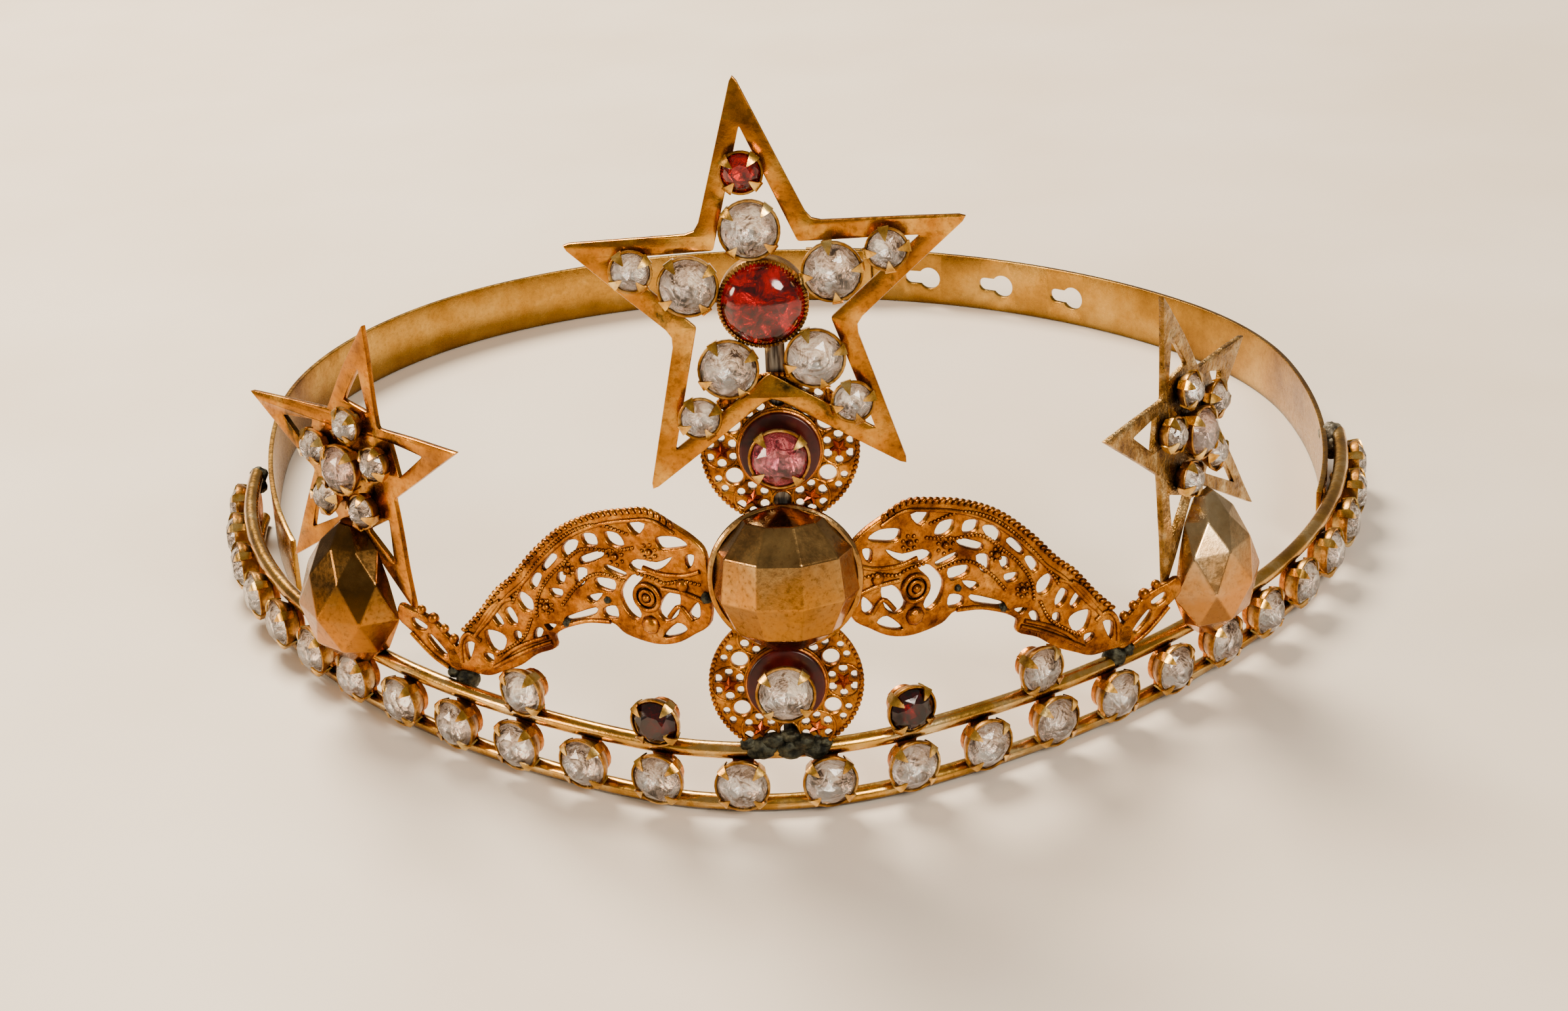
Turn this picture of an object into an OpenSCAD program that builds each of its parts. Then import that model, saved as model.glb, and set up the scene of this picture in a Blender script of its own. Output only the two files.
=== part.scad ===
// Crown of gilt brass. A gallery of claw-set stones between two round rails forms the front, a
// plain slotted strap in two halves closes it behind the head, and three star ornaments with
// stamped wings stand on the gallery's upper rail.
// Frame: origin on the surface the crown stands on, under the middle of its outline.
// +Z is up, the front faces -Y and the closure is at +Y.

/* [Gallery] */
// Radius of the gallery's bend at the very front
nose_r = 41; // [36:1:46]
// Radius of the bend between front and side on the crown's left
left_cheek_r = 124; // [116:1:132]
// Radius of the same bend on its right, opened a little by hand
right_cheek_r = 132; // [124:1:140]
// Radius of the bend along both sides
side_r = 88; // [80:1:96]
// Thickness of the two rails
rail_d = 2.2; // [1.8:0.1:2.6]
// Height between the axes of the two rails
rail_gap = 7.5; // [7:0.1:8.2]
// Distance from stone to stone along the rails
stone_pitch = 10.4; // [9.6:0.1:11]
// Stones on each side of the centre
side_stones = 13; // [10:1:13]
// Radius of a gallery stone's cup
gallery_cup_r = 3.5; // [3:0.1:3.7]

/* [Strap] */
// Thickness of the strap
strap_t = 0.8; // [0.6:0.1:1]
// Height of the strap
strap_h = 9.6; // [8.6:0.1:9.8]
// Radius of the strap where its two halves overlap
closure_r = 100; // [98:1:102]
// Gap between the two overlapping halves
strap_gap = 0.3; // [0.25:0.05:0.4]
// Angle of the first keyhole from the middle of the strap
first_keyhole = 10.6; // [10.4:0.1:10.8]
// Angle between keyholes
keyhole_step = 8.1; // [7.6:0.1:8.6]
// Number of keyholes
keyholes = 4; // [2:1:4]
// Travel of the stud along a keyhole
keyhole_travel = 3.3; // [3:0.1:3.4]
// Radius of a keyhole's round end
keyhole_r = 2; // [1.9:0.05:2.2]
// Radius of the stud's shank
stud_r = 1; // [0.9:0.05:1.05]

/* [Centre ornament] */
// Radius of the two openwork discs
disc_r = 9.7; // [9:0.1:10.4]
// Thickness of sheet pieces
sheet_t = 0.8; // [0.6:0.1:0.9]
// Radius of the large faceted bead
bead_r = 9.4; // [8.6:0.1:9.6]
// Height of the big star's centre above the rail
star_v = 58.5; // [56:0.5:61]
// Width of the big star's bars, measured at a tip
star_bar = 6.4; // [5.5:0.1:7]
// Backward lean of the centre ornament
centre_lean = 5; // [0:1:8]
// Radius of the big star's centre setting
bezel_r = 5.35; // [5:0.05:5.6]

/* [Side ornaments] */
// Distance of the side ornaments from the front, along the rail
side_s = 67; // [62:1:72]
// Backward lean of the side ornaments
side_lean = 4; // [0:1:8]
// Half width of a pear-shaped bead
pear_w = 8.6; // [8:0.1:9]
// Wall of the hollow beads
bead_wall = 0.6; // [0.5:0.1:0.8]

/* [Wings] */
// Angle between a wing and the crown's front plane
wing_turn = 27.7; // [25:0.1:30]
// Thickness of a wing's stamped sheet
wing_t = 1; // [0.8:0.1:1.2]

/* [Hidden] */

$fn = 48;
tiny = 0.05;

// The middle of the crown's outline, as its parts are laid out, lies this far off the origin
middle = [0.08, -2.1];

// Gallery: both sides start at the front, heading outwards along X
front = [-1.4, -90.6];
nose_turn = 25;
cheek_turn = 28;
rail_r = rail_d / 2;
lower_z = rail_r;
upper_z = lower_z + rail_gap;
stone_z = lower_z + rail_gap / 2 + 0.05;
stone_shift = 1.55;
side_len = side_stones * stone_pitch + 0.9;
// How far each end of the rails stops short of its run of stones
right_short = 3;
left_short = 2.5;
right_end = side_len + stone_shift - right_short;
left_end = side_len - stone_shift - left_short;
right_arcs = bends(right_cheek_r, right_end);
left_arcs = bends(left_cheek_r, left_end);

// Strap: each half starts at the middle of the back, heading outwards
strap_front = [-10.5, 92.9];
closure_mid = [strap_front[0], strap_front[1] - closure_r];
right_strap_arcs = [[closure_r, 50.4], [60, 30.1], [114, 25.4]];
tongue_r = closure_r - strap_t - strap_gap;
left_strap_arcs = [[83, 30], [63.3, 62.5], [145, 20]];
right_free_end = 6.5;
tongue_end = 13.5;
strap_mid_z = strap_h / 2;
slot_r = stud_r + 0.2;
stud_angle = first_keyhole - (keyhole_travel / 2) / closure_r * 180 / PI;
stud_head_r = keyhole_r - 0.3;
stud_head_t = 0.7;
head_gap = 0.25;

// Centre ornament, as [across, up] on its leaning plane
lower_disc_at = [0.8, 9.4];
upper_disc_at = [1.4, 39.8];
bead_at = [1.3, 23.5];
star_at = [0.3, star_v];
red_disc_r = disc_r / 2;
disc_cup_r = 3.7;
bead_depth = 0.85;
large_cup_r = 3.65;
small_cup_r = 2.6;
// Big star: length and direction of each arm and of each notch between arms
big_tips = [[27.4, 95], [24.9, 162], [27.7, 238], [26.9, 308], [26.3, 381]];
big_notches = [[11.2, 132], [11.5, 201], [11.9, 272], [11.1, 343], [11.1, 418]];
large_ring_r = 9;
small_ring_r = 15.9;
notch_bar = 2.9;

// Side stars: the same, on their own planes
left_star_at = [0.9, 26.5];
right_star_at = [-2.8, 28];
left_tips = [[21.2, 82], [21.2, 164], [21.2, 231], [21.2, 301], [21.2, 378]];
right_tips = [[21.2, 100], [21.2, 164], [21.2, 248], [24, 315], [18.2, 384]];
side_notch_r = 8.3;
// A side star is solid in the middle, with a three-cornered window in each arm
window_tip = 7;
window_low = 8.6;
window_half = 2.4;
side_cup_r = 2.45;
side_centre_cup_r = 3.5;
side_ring_r = 6.2;
left_side_turn = 8;
right_side_turn = 9;
side_off = 0.6;

// A run of arcs along the rail, the last one as long as is left
function bends(cheek_r, length) =
    let(used = arc_len(nose_r, nose_turn) + arc_len(cheek_r, cheek_turn))
    [[nose_r, nose_turn], [cheek_r, cheek_turn], [side_r, arc_turn(side_r, length - used)]];
function arc_len(r, turn) = r * turn * PI / 180;
function arc_turn(r, length) = length / r * 180 / PI;

// The end of an arc that starts at p, heading h, and turns left
function arc_end(p, h, r, turn) = p + r * [sin(h + turn) - sin(h), cos(h) - cos(h + turn)];
// A run of arcs as [start, heading, radius, turn]
function run(p, h, arcs, i = 0) = i == len(arcs) ? [] :
    concat([[p, h, arcs[i][0], arcs[i][1]]],
        run(arc_end(p, h, arcs[i][0], arcs[i][1]), h + arcs[i][1], arcs, i + 1));
// Point and heading at a distance along a run of arcs
function along(p, h, arcs, s, i = 0) =
    let(r = arcs[i][0], length = arc_len(r, arcs[i][1]))
    s <= length || i == len(arcs) - 1
        ? let(turn = arc_turn(r, s)) concat(arc_end(p, h, r, turn), [h + turn])
        : along(arc_end(p, h, r, arcs[i][1]), h + arcs[i][1], arcs, s - length, i + 1);
// [x, y, heading] on the rail, right of the front for s > 0 and left of it for s < 0
function rail_at(s) = s >= 0 ? along(front, 0, right_arcs, s) :
    let(q = along([-front[0], front[1]], 0, left_arcs, -s)) [-q[0], q[1], -q[2]];

function polar(q) = q[0] * [cos(q[1]), sin(q[1])];
// A star's outline from its tips and notches, each drawn in by its own bar
function star_points(tips, notches, tip_in, notch_in) =
    [for (i = [0:len(tips) - 1]) each [
        polar([tips[i][0] - tip_in, tips[i][1]]),
        polar([notches[i][0] - notch_in, notches[i][1]])]];
function between(tips, r) = [for (i = [0:len(tips) - 1])
    [r, (tips[i][1] + (i < len(tips) - 1 ? tips[i + 1][1] : tips[0][1] + 360)) / 2]];

// Smooth curves through a few points
function at_end(p, i) = p[max(0, min(len(p) - 1, i))];
function smooth(a, b, c, d, t) =
    (2 * b + (c - a) * t + (2 * a - 5 * b + 4 * c - d) * t * t
        + (3 * b - a - 3 * c + d) * t * t * t) / 2;
function open_curve(p, k = 5) = concat(
    [for (i = [0:len(p) - 2]) for (j = [0:k - 1])
        smooth(at_end(p, i - 1), p[i], p[i + 1], at_end(p, i + 2), j / k)],
    [p[len(p) - 1]]);
function closed_curve(p, k = 4) = let(n = len(p))
    [for (i = [0:n - 1]) for (j = [0:k - 1])
        smooth(p[(i + n - 1) % n], p[i], p[(i + 1) % n], p[(i + 2) % n], j / k)];
function side_of(c, i) =
    let(d = at_end(c, i + 1) - at_end(c, i - 1)) [-d[1], d[0]] / norm(d);
function ribbon(p, w) = let(c = open_curve(p)) concat(
    [for (i = [0:len(c) - 1]) c[i] + side_of(c, i) * w / 2],
    [for (i = [len(c) - 1:-1:0]) c[i] - side_of(c, i) * w / 2]);

// Wings, as [outwards, up] on the wing's plane; the tail points away from the centre
wing_at = [0.5, -92.4];
wing_outline = [[9, 22], [10.2, 28], [14.6, 30.2], [19.2, 31.3], [25.4, 29.8], [30.4, 26.8],
    [34.6, 22.6], [38.2, 18.8], [41.8, 15.4], [45, 11], [47.6, 7], [48.2, 2.4], [43.1, 1.9],
    [38.2, 5], [33, 8.6], [29, 11.8], [22, 12.2], [16, 11.8], [11, 14.2], [9, 17.5]];
wing_rim = [[10.4, 27.6], [14.6, 29.7], [19.2, 30.7], [25.4, 29.2], [30.4, 26.2], [34.6, 22],
    [37.9, 18.3], [41.3, 15.2], [44.5, 10.8], [46.9, 7.6]];
wing_rungs = [[22.5, 26.4], [26.1, 25.3], [29.4, 23.3], [32.6, 20.9], [35.1, 17.9], [37, 14.9]];
lobe_at = [16.8, 18.4];
lobe_r = 5;
wing_windows = [[24.4, 20.6, 1.5], [28.4, 19.4, 1.7], [26.6, 16, 1.4], [31, 17.4, 1.1],
    [32.2, 13.6, 1.5], [41.2, 11.4, 1.1], [39.2, 7.6, 1.2], [44.2, 6, 1.2], [36, 10.4, 1.1],
    [19.4, 28.3, 1], [14.4, 26.6, 1.1]];
tail_curve = [[46.6, 3], [48.6, 1.6], [51.4, 3], [52.6, 6.8], [54.6, 9.6], [57, 8.4], [56.4, 5.6],
    [54, 4.6]];

module placed() translate([-middle[0], -middle[1], 0]) children();

// A rail runs round the front from its left end to its right end, as rings of points on its skin
rail_sides = 12;
rail_step = 4;
function rail_rings(pieces) = [for (i = [0:len(pieces) - 1]) let(q = pieces[i], n = ceil(q[3] / rail_step))
    for (k = [(i == 0 ? 0 : 1):n])
        concat(arc_end(q[0], q[1], q[2], q[3] * k / n), [q[1] + q[3] * k / n])];
module rail(z) {
    left = rail_at(-left_end);
    arcs = [left_arcs[2], left_arcs[1], [nose_r, 2 * nose_turn], right_arcs[1], right_arcs[2]];
    rings = rail_rings(run([left[0], left[1]], left[2], arcs));
    points = [for (q = rings) for (k = [0:rail_sides - 1])
        let(a = 360 * k / rail_sides, out = rail_r * cos(a))
        [q[0] + out * sin(q[2]), q[1] - out * cos(q[2]), z + rail_r * sin(a)]];
    ends = (len(rings) - 1) * rail_sides;
    faces = concat(
        [for (i = [0:len(rings) - 2]) for (k = [0:rail_sides - 1])
            let(a = i * rail_sides, next = (k + 1) % rail_sides)
            [a + k, a + next, a + rail_sides + next, a + rail_sides + k]],
        [[for (k = [rail_sides - 1:-1:0]) k], [for (k = [0:rail_sides - 1]) ends + k]]);
    polyhedron(points, faces);
}

// Stands a piece on the upper rail: X along the rail, Y up, Z out from the crown
module stand(s, v = 0, lean = 0, turn = 0, off = 0)
    translate([rail_at(s)[0], rail_at(s)[1], upper_z])
        rotate([0, 0, rail_at(s)[2] + turn])
            rotate([90 - lean, 0, 0])
                translate([0, v, off])
                    children();

module centre_plane() translate([0, front[1], upper_z]) rotate([90 - centre_lean, 0, 0]) children();
module left_plane() stand(-side_s + 0.4, 0, side_lean, left_side_turn, side_off) children();
module right_plane() stand(side_s + 0.4, 0, side_lean, right_side_turn, side_off) children();
module wing_plane(side)
    translate([wing_at[0], wing_at[1], upper_z])
        rotate([0, 0, side * wing_turn])
            rotate([90, 0, 0])
                mirror([side < 0 ? 1 : 0, 0, 0])
                    children();
module on(p, z = 0) translate([p[0], p[1], z]) children();

// A round claw cup: a tapered foot, a thin wall and four claws bent over the stone
function cup_h(r) = 0.77 * r;
function girdle_h(r) = 0.6 * r;
cup_wall = 0.35;
claw_w = 0.8;
claw_reach = 0.75;
claw_rise = 0.45;
module cup(r, foot = 0.66, claws = 4) {
    rotate_extrude()
        polygon([[0, 0], [foot * r, 0], [r, girdle_h(r)], [r, cup_h(r)],
            [r - cup_wall, cup_h(r)], [r - cup_wall, girdle_h(r)], [foot * r - cup_wall, cup_wall],
            [0, cup_wall]]);
    for (k = [0:claws - 1])
        rotate([0, 0, 45 + k * 360 / claws])
            translate([r - claw_reach, -claw_w / 2, girdle_h(r) + tiny])
                cube([claw_reach + 0.1, claw_w, cup_h(r) - girdle_h(r) + claw_rise]);
}
// The stone that fills a cup: a pavilion down to the foot, a crown and a flat table
module stone(r, foot = 0.66) {
    seat_r = r - cup_wall;
    rotate_extrude()
        polygon([[0, cup_wall], [foot * r - cup_wall, cup_wall], [seat_r, girdle_h(r)],
            [seat_r, cup_h(r)], [0.58 * seat_r, cup_h(r) + 0.42 * r], [0, cup_h(r) + 0.42 * r]]);
}

// A hollow faceted half bead: rows of [height, half width], pointed at both ends, open behind
module half_bead(low, rows, high, depth, n = 6) {
    ring = n + 1;
    last = 1 + len(rows) * ring;
    points = concat([[0, low, 0]],
        [for (q = rows) for (k = [0:n])
            [q[1] * cos(180 * k / n), q[0], q[1] * depth * sin(180 * k / n)]],
        [[0, high, 0]]);
    faces = concat(
        [for (k = [0:n - 1]) [0, 2 + k, 1 + k]],
        [for (j = [0:len(rows) - 2]) for (k = [0:n - 1])
            [1 + j * ring + k, 2 + j * ring + k, 2 + (j + 1) * ring + k, 1 + (j + 1) * ring + k]],
        [for (k = [0:n - 1]) [last, last - ring + k, last - ring + k + 1]],
        [concat([0], [for (j = [0:len(rows) - 1]) 1 + j * ring], [last],
            [for (j = [len(rows) - 1:-1:0]) (j + 1) * ring])]);
    polyhedron(points, faces);
}
module shell(middle_v, r)
    difference() {
        children(0);
        translate([0, middle_v, -tiny]) scale(1 - bead_wall / r) translate([0, -middle_v, 0])
            children(0);
    }

module star_frame(tips, notches, tip_bar, notch_in, t)
    linear_extrude(t)
        difference() {
            polygon(star_points(tips, notches, 0, 0));
            polygon(star_points(tips, notches, tip_bar, notch_in));
        }

module openwork_disc(r) {
    difference() {
        cylinder(r = r - 0.4, h = sheet_t, $fn = 96);
        for (k = [0:7]) {
            rotate([0, 0, 45 * k]) translate([0.74 * r, 0, -1]) cylinder(r = 0.95, h = 3, $fn = 16);
            for (a = [16, 29])
                rotate([0, 0, 45 * k + a])
                    translate([0.74 * r, 0, -1])
                        cylinder(r = 0.42, h = 3, $fn = 16);
        }
    }
    rotate_extrude($fn = 96) translate([r - 0.6, sheet_t / 2]) circle(0.6, $fn = 16);
}

module red_disc() {
    edge = 0.3;
    rotate_extrude()
        polygon([[0, 0], [red_disc_r - edge, 0], [red_disc_r, edge], [red_disc_r, 1.2 - edge],
            [red_disc_r - edge, 1.2], [0, 1.2]]);
}

module wing_plate() {
    linear_extrude(wing_t)
        difference() {
            polygon(closed_curve(wing_outline));
            for (p = wing_rungs) translate(p) circle(1.05, $fn = 16);
            for (p = wing_windows) translate([p[0], p[1]]) circle(p[2], $fn = 20);
            for (a = [30:90:300]) translate(lobe_at + polar([3.3, a])) circle(0.8, $fn = 16);
        }
    linear_extrude(wing_t + 0.5) polygon(ribbon(wing_rim, 1.5));
    on(lobe_at, wing_t) rotate_extrude() translate([lobe_r, 0]) circle(0.55, $fn = 16);
    on(lobe_at) cylinder(r1 = 2, r2 = 1.2, h = wing_t + 0.7);
}

module blob(p, r) translate(p) sphere(r, $fn = 32);

// Gallery
module lower_rail() color("#9a6a35") placed() rail(lower_z);
module upper_rail() color("#a4743a") placed() rail(upper_z);

module each_stone()
    for (side = [-1, 1]) for (i = [0:side_stones - 1])
        stand(stone_shift + side * (i + 0.5) * stone_pitch, stone_z - upper_z)
            children();

// A flared tab from the upper rail down behind the cup to the lower rail
module post() {
    tab_w = 4.4;
    waist_w = 2.7;
    post_t = 0.9;
    rise = upper_z - stone_z;
    shoulder = 2.2;
    translate([0, 0, -post_t / 2]) {
        cylinder(r = 2.5, h = post_t);
        linear_extrude(post_t)
            polygon(concat(
                [for (a = [0:15:90]) [waist_w / 2 + (tab_w - waist_w) / 2 * (1 - cos(a)),
                    rise - shoulder + shoulder * sin(a)]],
                [for (a = [90:-15:0]) [-waist_w / 2 - (tab_w - waist_w) / 2 * (1 - cos(a)),
                    rise - shoulder + shoulder * sin(a)]],
                [[-waist_w / 2, -rise], [waist_w / 2, -rise]]));
    }
}
module gallery_posts() color("#b06a3c") placed() each_stone() post();
module gallery_cups() color("#9b6c3a") placed() each_stone() cup(gallery_cup_r);
module gallery_stones() color("#f2efe8") placed() each_stone() stone(gallery_cup_r);

// Strap: the outline of a strip of even thickness along a run of arcs, seen from above
strap_step = 1.5;
function arc_points(q, off) = let(n = ceil(q[3] / strap_step), c = q[0] + q[2] * [-sin(q[1]), cos(q[1])])
    [for (k = [0:n]) let(a = q[1] + q[3] * k / n) c + (q[2] + off) * [sin(a), -cos(a)]];
function strip_side(pieces, off) =
    [for (i = [0:len(pieces) - 1]) each
        let(p = arc_points(pieces[i], off)) [for (k = [(i == 0 ? 0 : 1):len(p) - 1]) p[k]]];
function strip_outline(pieces, t) = let(inner = strip_side(pieces, -t / 2))
    concat(strip_side(pieces, t / 2), [for (k = [len(inner) - 1:-1:0]) inner[k]]);
module strip(pieces) linear_extrude(strap_h) polygon(strip_outline(pieces, strap_t));

// Places a piece on the closure arc: X along the arc away from the middle, Z out from the crown
module on_closure(angle, z = strap_mid_z)
    translate([closure_mid[0], closure_mid[1], z])
        rotate([0, 0, -angle])
            rotate([-90, 0, 0])
                children();

module keyhole() {
    half = keyhole_travel / 2;
    translate([half, 0, closure_r - 5]) cylinder(r = keyhole_r, h = 10, $fn = 32);
    translate([-half, 0, closure_r - 5]) cylinder(r = slot_r, h = 10, $fn = 32);
    translate([-half, -slot_r, closure_r - 5]) cube([keyhole_travel, 2 * slot_r, 10]);
}

module right_band() color("#8a6a3e") placed()
    difference() {
        mirror([1, 0, 0])
            strip(run(arc_end([-strap_front[0], strap_front[1]], 180, closure_r, right_free_end),
                180 + right_free_end,
                [[closure_r, right_strap_arcs[0][1] - right_free_end],
                    right_strap_arcs[1], right_strap_arcs[2]]));
        for (k = [0:keyholes - 1]) on_closure(first_keyhole + k * keyhole_step) keyhole();
    }

module left_band() color("#86663b") placed() {
    tongue_start = closure_mid + tongue_r * [sin(tongue_end), cos(tongue_end)];
    strip(run(tongue_start, 180 - tongue_end, concat([[tongue_r, tongue_end]], left_strap_arcs)));
}

module closure_stud() color("#8f6d3c") placed()
    on_closure(stud_angle) {
        inner = tongue_r - strap_t / 2 - 0.4;
        head = closure_r + strap_t / 2 + head_gap;
        translate([0, 0, inner]) cylinder(r = stud_r, h = head + stud_head_t - inner);
        translate([0, 0, head]) cylinder(r = stud_head_r, h = stud_head_t);
        translate([0, 0, inner]) cylinder(r = stud_head_r, h = 0.4);
    }

// Solder at the rails' ends. The left one stops short of its strap, which is free to slide
module left_joint_solder() color("#3f4634") placed() {
    end = rail_at(-left_end);
    blob([end[0] + 0.1, end[1] + 0.3, upper_z - 0.3], 1.5);
    blob([end[0] + 0.2, end[1] - 1.3, upper_z - 1.4], 1.45);
}
module right_joint_solder() color("#6f6a5a") placed() {
    blob([rail_at(right_end)[0] - 1, rail_at(right_end)[1] + 0.2, upper_z - 0.4], 2);
    blob([rail_at(right_end)[0] - 0.9, rail_at(right_end)[1] - 1.5, upper_z - 1.8], 1.8);
}

// Stones standing above the upper rail
rail_top_v = 4.3;
rail_top_r = 3.3;
garnet_s = [-13.9, 17.1];
clear_s = [-33.3, 35.9];
module rail_top_cups() color("#a06c38") placed()
    for (s = concat(garnet_s, clear_s)) stand(s, rail_top_v) {
        cup(rail_top_r);
        translate([-1.3, -rail_top_v, -0.9]) cube([2.6, rail_top_v, 0.9]);
        translate([0, 0, -0.9]) cylinder(r = 2, h = 0.95);
    }
module rail_top_clear_stones() color("#f2efe8") placed()
    for (s = clear_s) stand(s, rail_top_v) stone(rail_top_r);
module rail_top_garnets() color("#5c1420") placed()
    for (s = garnet_s) stand(s, rail_top_v) stone(rail_top_r);

// Centre ornament
module lower_disc() color("#a3702f") placed() centre_plane() on(lower_disc_at) openwork_disc(disc_r);
module upper_disc() color("#a3702f") placed() centre_plane() on(upper_disc_at) openwork_disc(disc_r);
module lower_red_disc() color("#4a0d12") placed()
    centre_plane() on(lower_disc_at, sheet_t) red_disc();
module upper_red_disc() color("#4a0d12") placed()
    centre_plane() on(upper_disc_at, sheet_t) red_disc();
disc_cup_z = sheet_t + 1.2;
module lower_disc_cup() color("#b07a3c") placed()
    centre_plane() on(lower_disc_at, disc_cup_z) cup(disc_cup_r);
module upper_disc_cup() color("#b07a3c") placed()
    centre_plane() on(upper_disc_at, disc_cup_z) cup(disc_cup_r);
module lower_disc_stone() color("#f0eee8") placed()
    centre_plane() on(lower_disc_at, disc_cup_z) stone(disc_cup_r);
module upper_disc_stone() color("#b98fb4") placed()
    centre_plane() on(upper_disc_at, disc_cup_z) stone(disc_cup_r);

bead_rows = [for (a = [-45:45:45]) [bead_r * sin(a), bead_r * cos(a)]];
module centre_bead() color("#b0702c") placed()
    centre_plane() on(bead_at, sheet_t)
        shell(0, bead_r) half_bead(-bead_r, bead_rows, bead_r, bead_depth);

stem_w = 2.4;
module centre_stem() color("#77736a") placed()
    centre_plane() translate([bead_at[0] - stem_w / 2, -1, -sheet_t]) cube([stem_w, star_v + 3, sheet_t]);
// The run of solder under the centre ornament, as [thickness, distance along it]
foot_run = [[0, 0], [1.2, 0.4], [1.8, 2.2], [1.9, 5], [1.7, 7.6], [1, 9.4], [0, 9.8]];
module foot_solder() color("#2f3a2c") placed()
    centre_plane() translate([-4.2, 0.5, -0.2]) rotate([0, 90, 0]) rotate_extrude() polygon(foot_run);

// Big star
module big_star_frame() color("#8d6f33") placed()
    centre_plane() on(star_at, sheet_t)
        star_frame(big_tips, big_notches, star_bar, notch_bar, sheet_t);
module big_star_bezel() color("#5e4426") placed()
    centre_plane() on(star_at)
        difference() {
            cylinder(r = bezel_r, h = 3.2);
            translate([0, 0, 1]) cylinder(r = bezel_r - 0.4, h = 3);
        }
module big_star_cabochon() color("#4f0a10") placed()
    centre_plane() on(star_at)
        rotate_extrude()
            polygon(concat([[0, 1]],
                [for (a = [0:15:90]) [(bezel_r - 0.4) * cos(a), 2.8 + 2.6 * sin(a)]],
                [[0, 5.4]]));
module ring_of(tips, r, z, angle = 2.5)
    for (q = tips) on(polar([r, q[1] + angle]), z) rotate([0, 0, q[1]]) children();
module big_star_large_cups() color("#a87a3f") placed()
    centre_plane() on(star_at) ring_of(big_tips, large_ring_r, 0.6) cup(large_cup_r);
module big_star_large_stones() color("#f2efe8") placed()
    centre_plane() on(star_at) ring_of(big_tips, large_ring_r, 0.6) stone(large_cup_r);
module big_star_small_cups() color("#a87a3f") placed()
    centre_plane() on(star_at) ring_of(big_tips, small_ring_r, 2 * sheet_t, 1.5) cup(small_cup_r);
module big_star_small_stones() color("#f2efe8") placed()
    centre_plane() on(star_at)
        ring_of([for (i = [1:4]) big_tips[i]], small_ring_r, 2 * sheet_t, 1.5) stone(small_cup_r);
module big_star_garnet() color("#6a1420") placed()
    centre_plane() on(star_at)
        ring_of([big_tips[0]], small_ring_r, 2 * sheet_t, 1.5) stone(small_cup_r);

// Wings
module left_wing() color("#b5793a") placed() wing_plane(-1) wing_plate();
module right_wing() color("#b5793a") placed() wing_plane(1) wing_plate();
module wing_tail() linear_extrude(wing_t) polygon(ribbon(tail_curve, 1.3));
module left_wing_tail() color("#a9713a") placed() wing_plane(-1) wing_tail();
module right_wing_tail() color("#a9713a") placed() wing_plane(1) wing_tail();

// Side ornaments
pear_foot = -1.4;
pear_top = 18.5;
pear_rows = [[1, 0.76 * pear_w], [6, pear_w], [11.4, 0.84 * pear_w], [16, 0.52 * pear_w]];
module pear() shell(5.5, pear_w) half_bead(pear_foot, pear_rows, pear_top, 0.82);
module left_pear() color("#8f6430") placed() left_plane() pear();
module right_pear() color("#c9a878") placed() right_plane() pear();
module side_frame(tips)
    translate([0, 0, -sheet_t])
        linear_extrude(sheet_t)
            difference() {
                polygon(star_points(tips, between(tips, side_notch_r), 0, 0));
                for (q = tips)
                    rotate(q[1])
                        polygon([[q[0] - window_tip, 0], [window_low, window_half],
                            [window_low, -window_half]]);
            }
module side_cups(tips) {
    cup(side_centre_cup_r);
    ring_of(tips, side_ring_r, 0, 0) cup(side_cup_r);
}
module left_star_frame() color("#8a6a38") placed() left_plane() on(left_star_at) side_frame(left_tips);
module right_star_frame() color("#94806a") placed()
    right_plane() on(right_star_at) side_frame(right_tips);
module left_star_cups() color("#a87a3f") placed() left_plane() on(left_star_at) side_cups(left_tips);
module right_star_cups() color("#a87a3f") placed()
    right_plane() on(right_star_at) side_cups(right_tips);
module left_star_centre_stone() color("#9a8078") placed()
    left_plane() on(left_star_at) stone(side_centre_cup_r);
module right_star_centre_stone() color("#6f6272") placed()
    right_plane() on(right_star_at) stone(side_centre_cup_r);
module left_star_stones() color("#e6e2da") placed()
    left_plane() on(left_star_at) ring_of(left_tips, side_ring_r, 0, 0) stone(side_cup_r);
module right_star_stones() color("#e6e2da") placed()
    right_plane() on(right_star_at) ring_of(right_tips, side_ring_r, 0, 0) stone(side_cup_r);
module side_solder() color("#39432f") placed()
    for (side = [-1, 1]) {
        stand(side * (side_s - 0.4) + 0.4, 0, 0, 0, -0.9) blob([0, 0.6, 0], 1.9);
        wing_plane(side) blob([48, 0.6, -0.2], 1.7);
    }

lower_rail();
upper_rail();
gallery_posts();
gallery_cups();
gallery_stones();
right_band();
left_band();
closure_stud();
left_joint_solder();
right_joint_solder();
rail_top_cups();
rail_top_clear_stones();
rail_top_garnets();
lower_disc();
upper_disc();
lower_red_disc();
upper_red_disc();
lower_disc_cup();
upper_disc_cup();
lower_disc_stone();
upper_disc_stone();
centre_bead();
centre_stem();
foot_solder();
left_wing();
right_wing();
left_wing_tail();
right_wing_tail();
big_star_frame();
big_star_bezel();
big_star_cabochon();
big_star_large_cups();
big_star_large_stones();
big_star_small_cups();
big_star_small_stones();
big_star_garnet();
left_pear();
right_pear();
left_star_frame();
right_star_frame();
left_star_cups();
right_star_cups();
left_star_centre_stone();
right_star_centre_stone();
left_star_stones();
right_star_stones();
side_solder();
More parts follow.
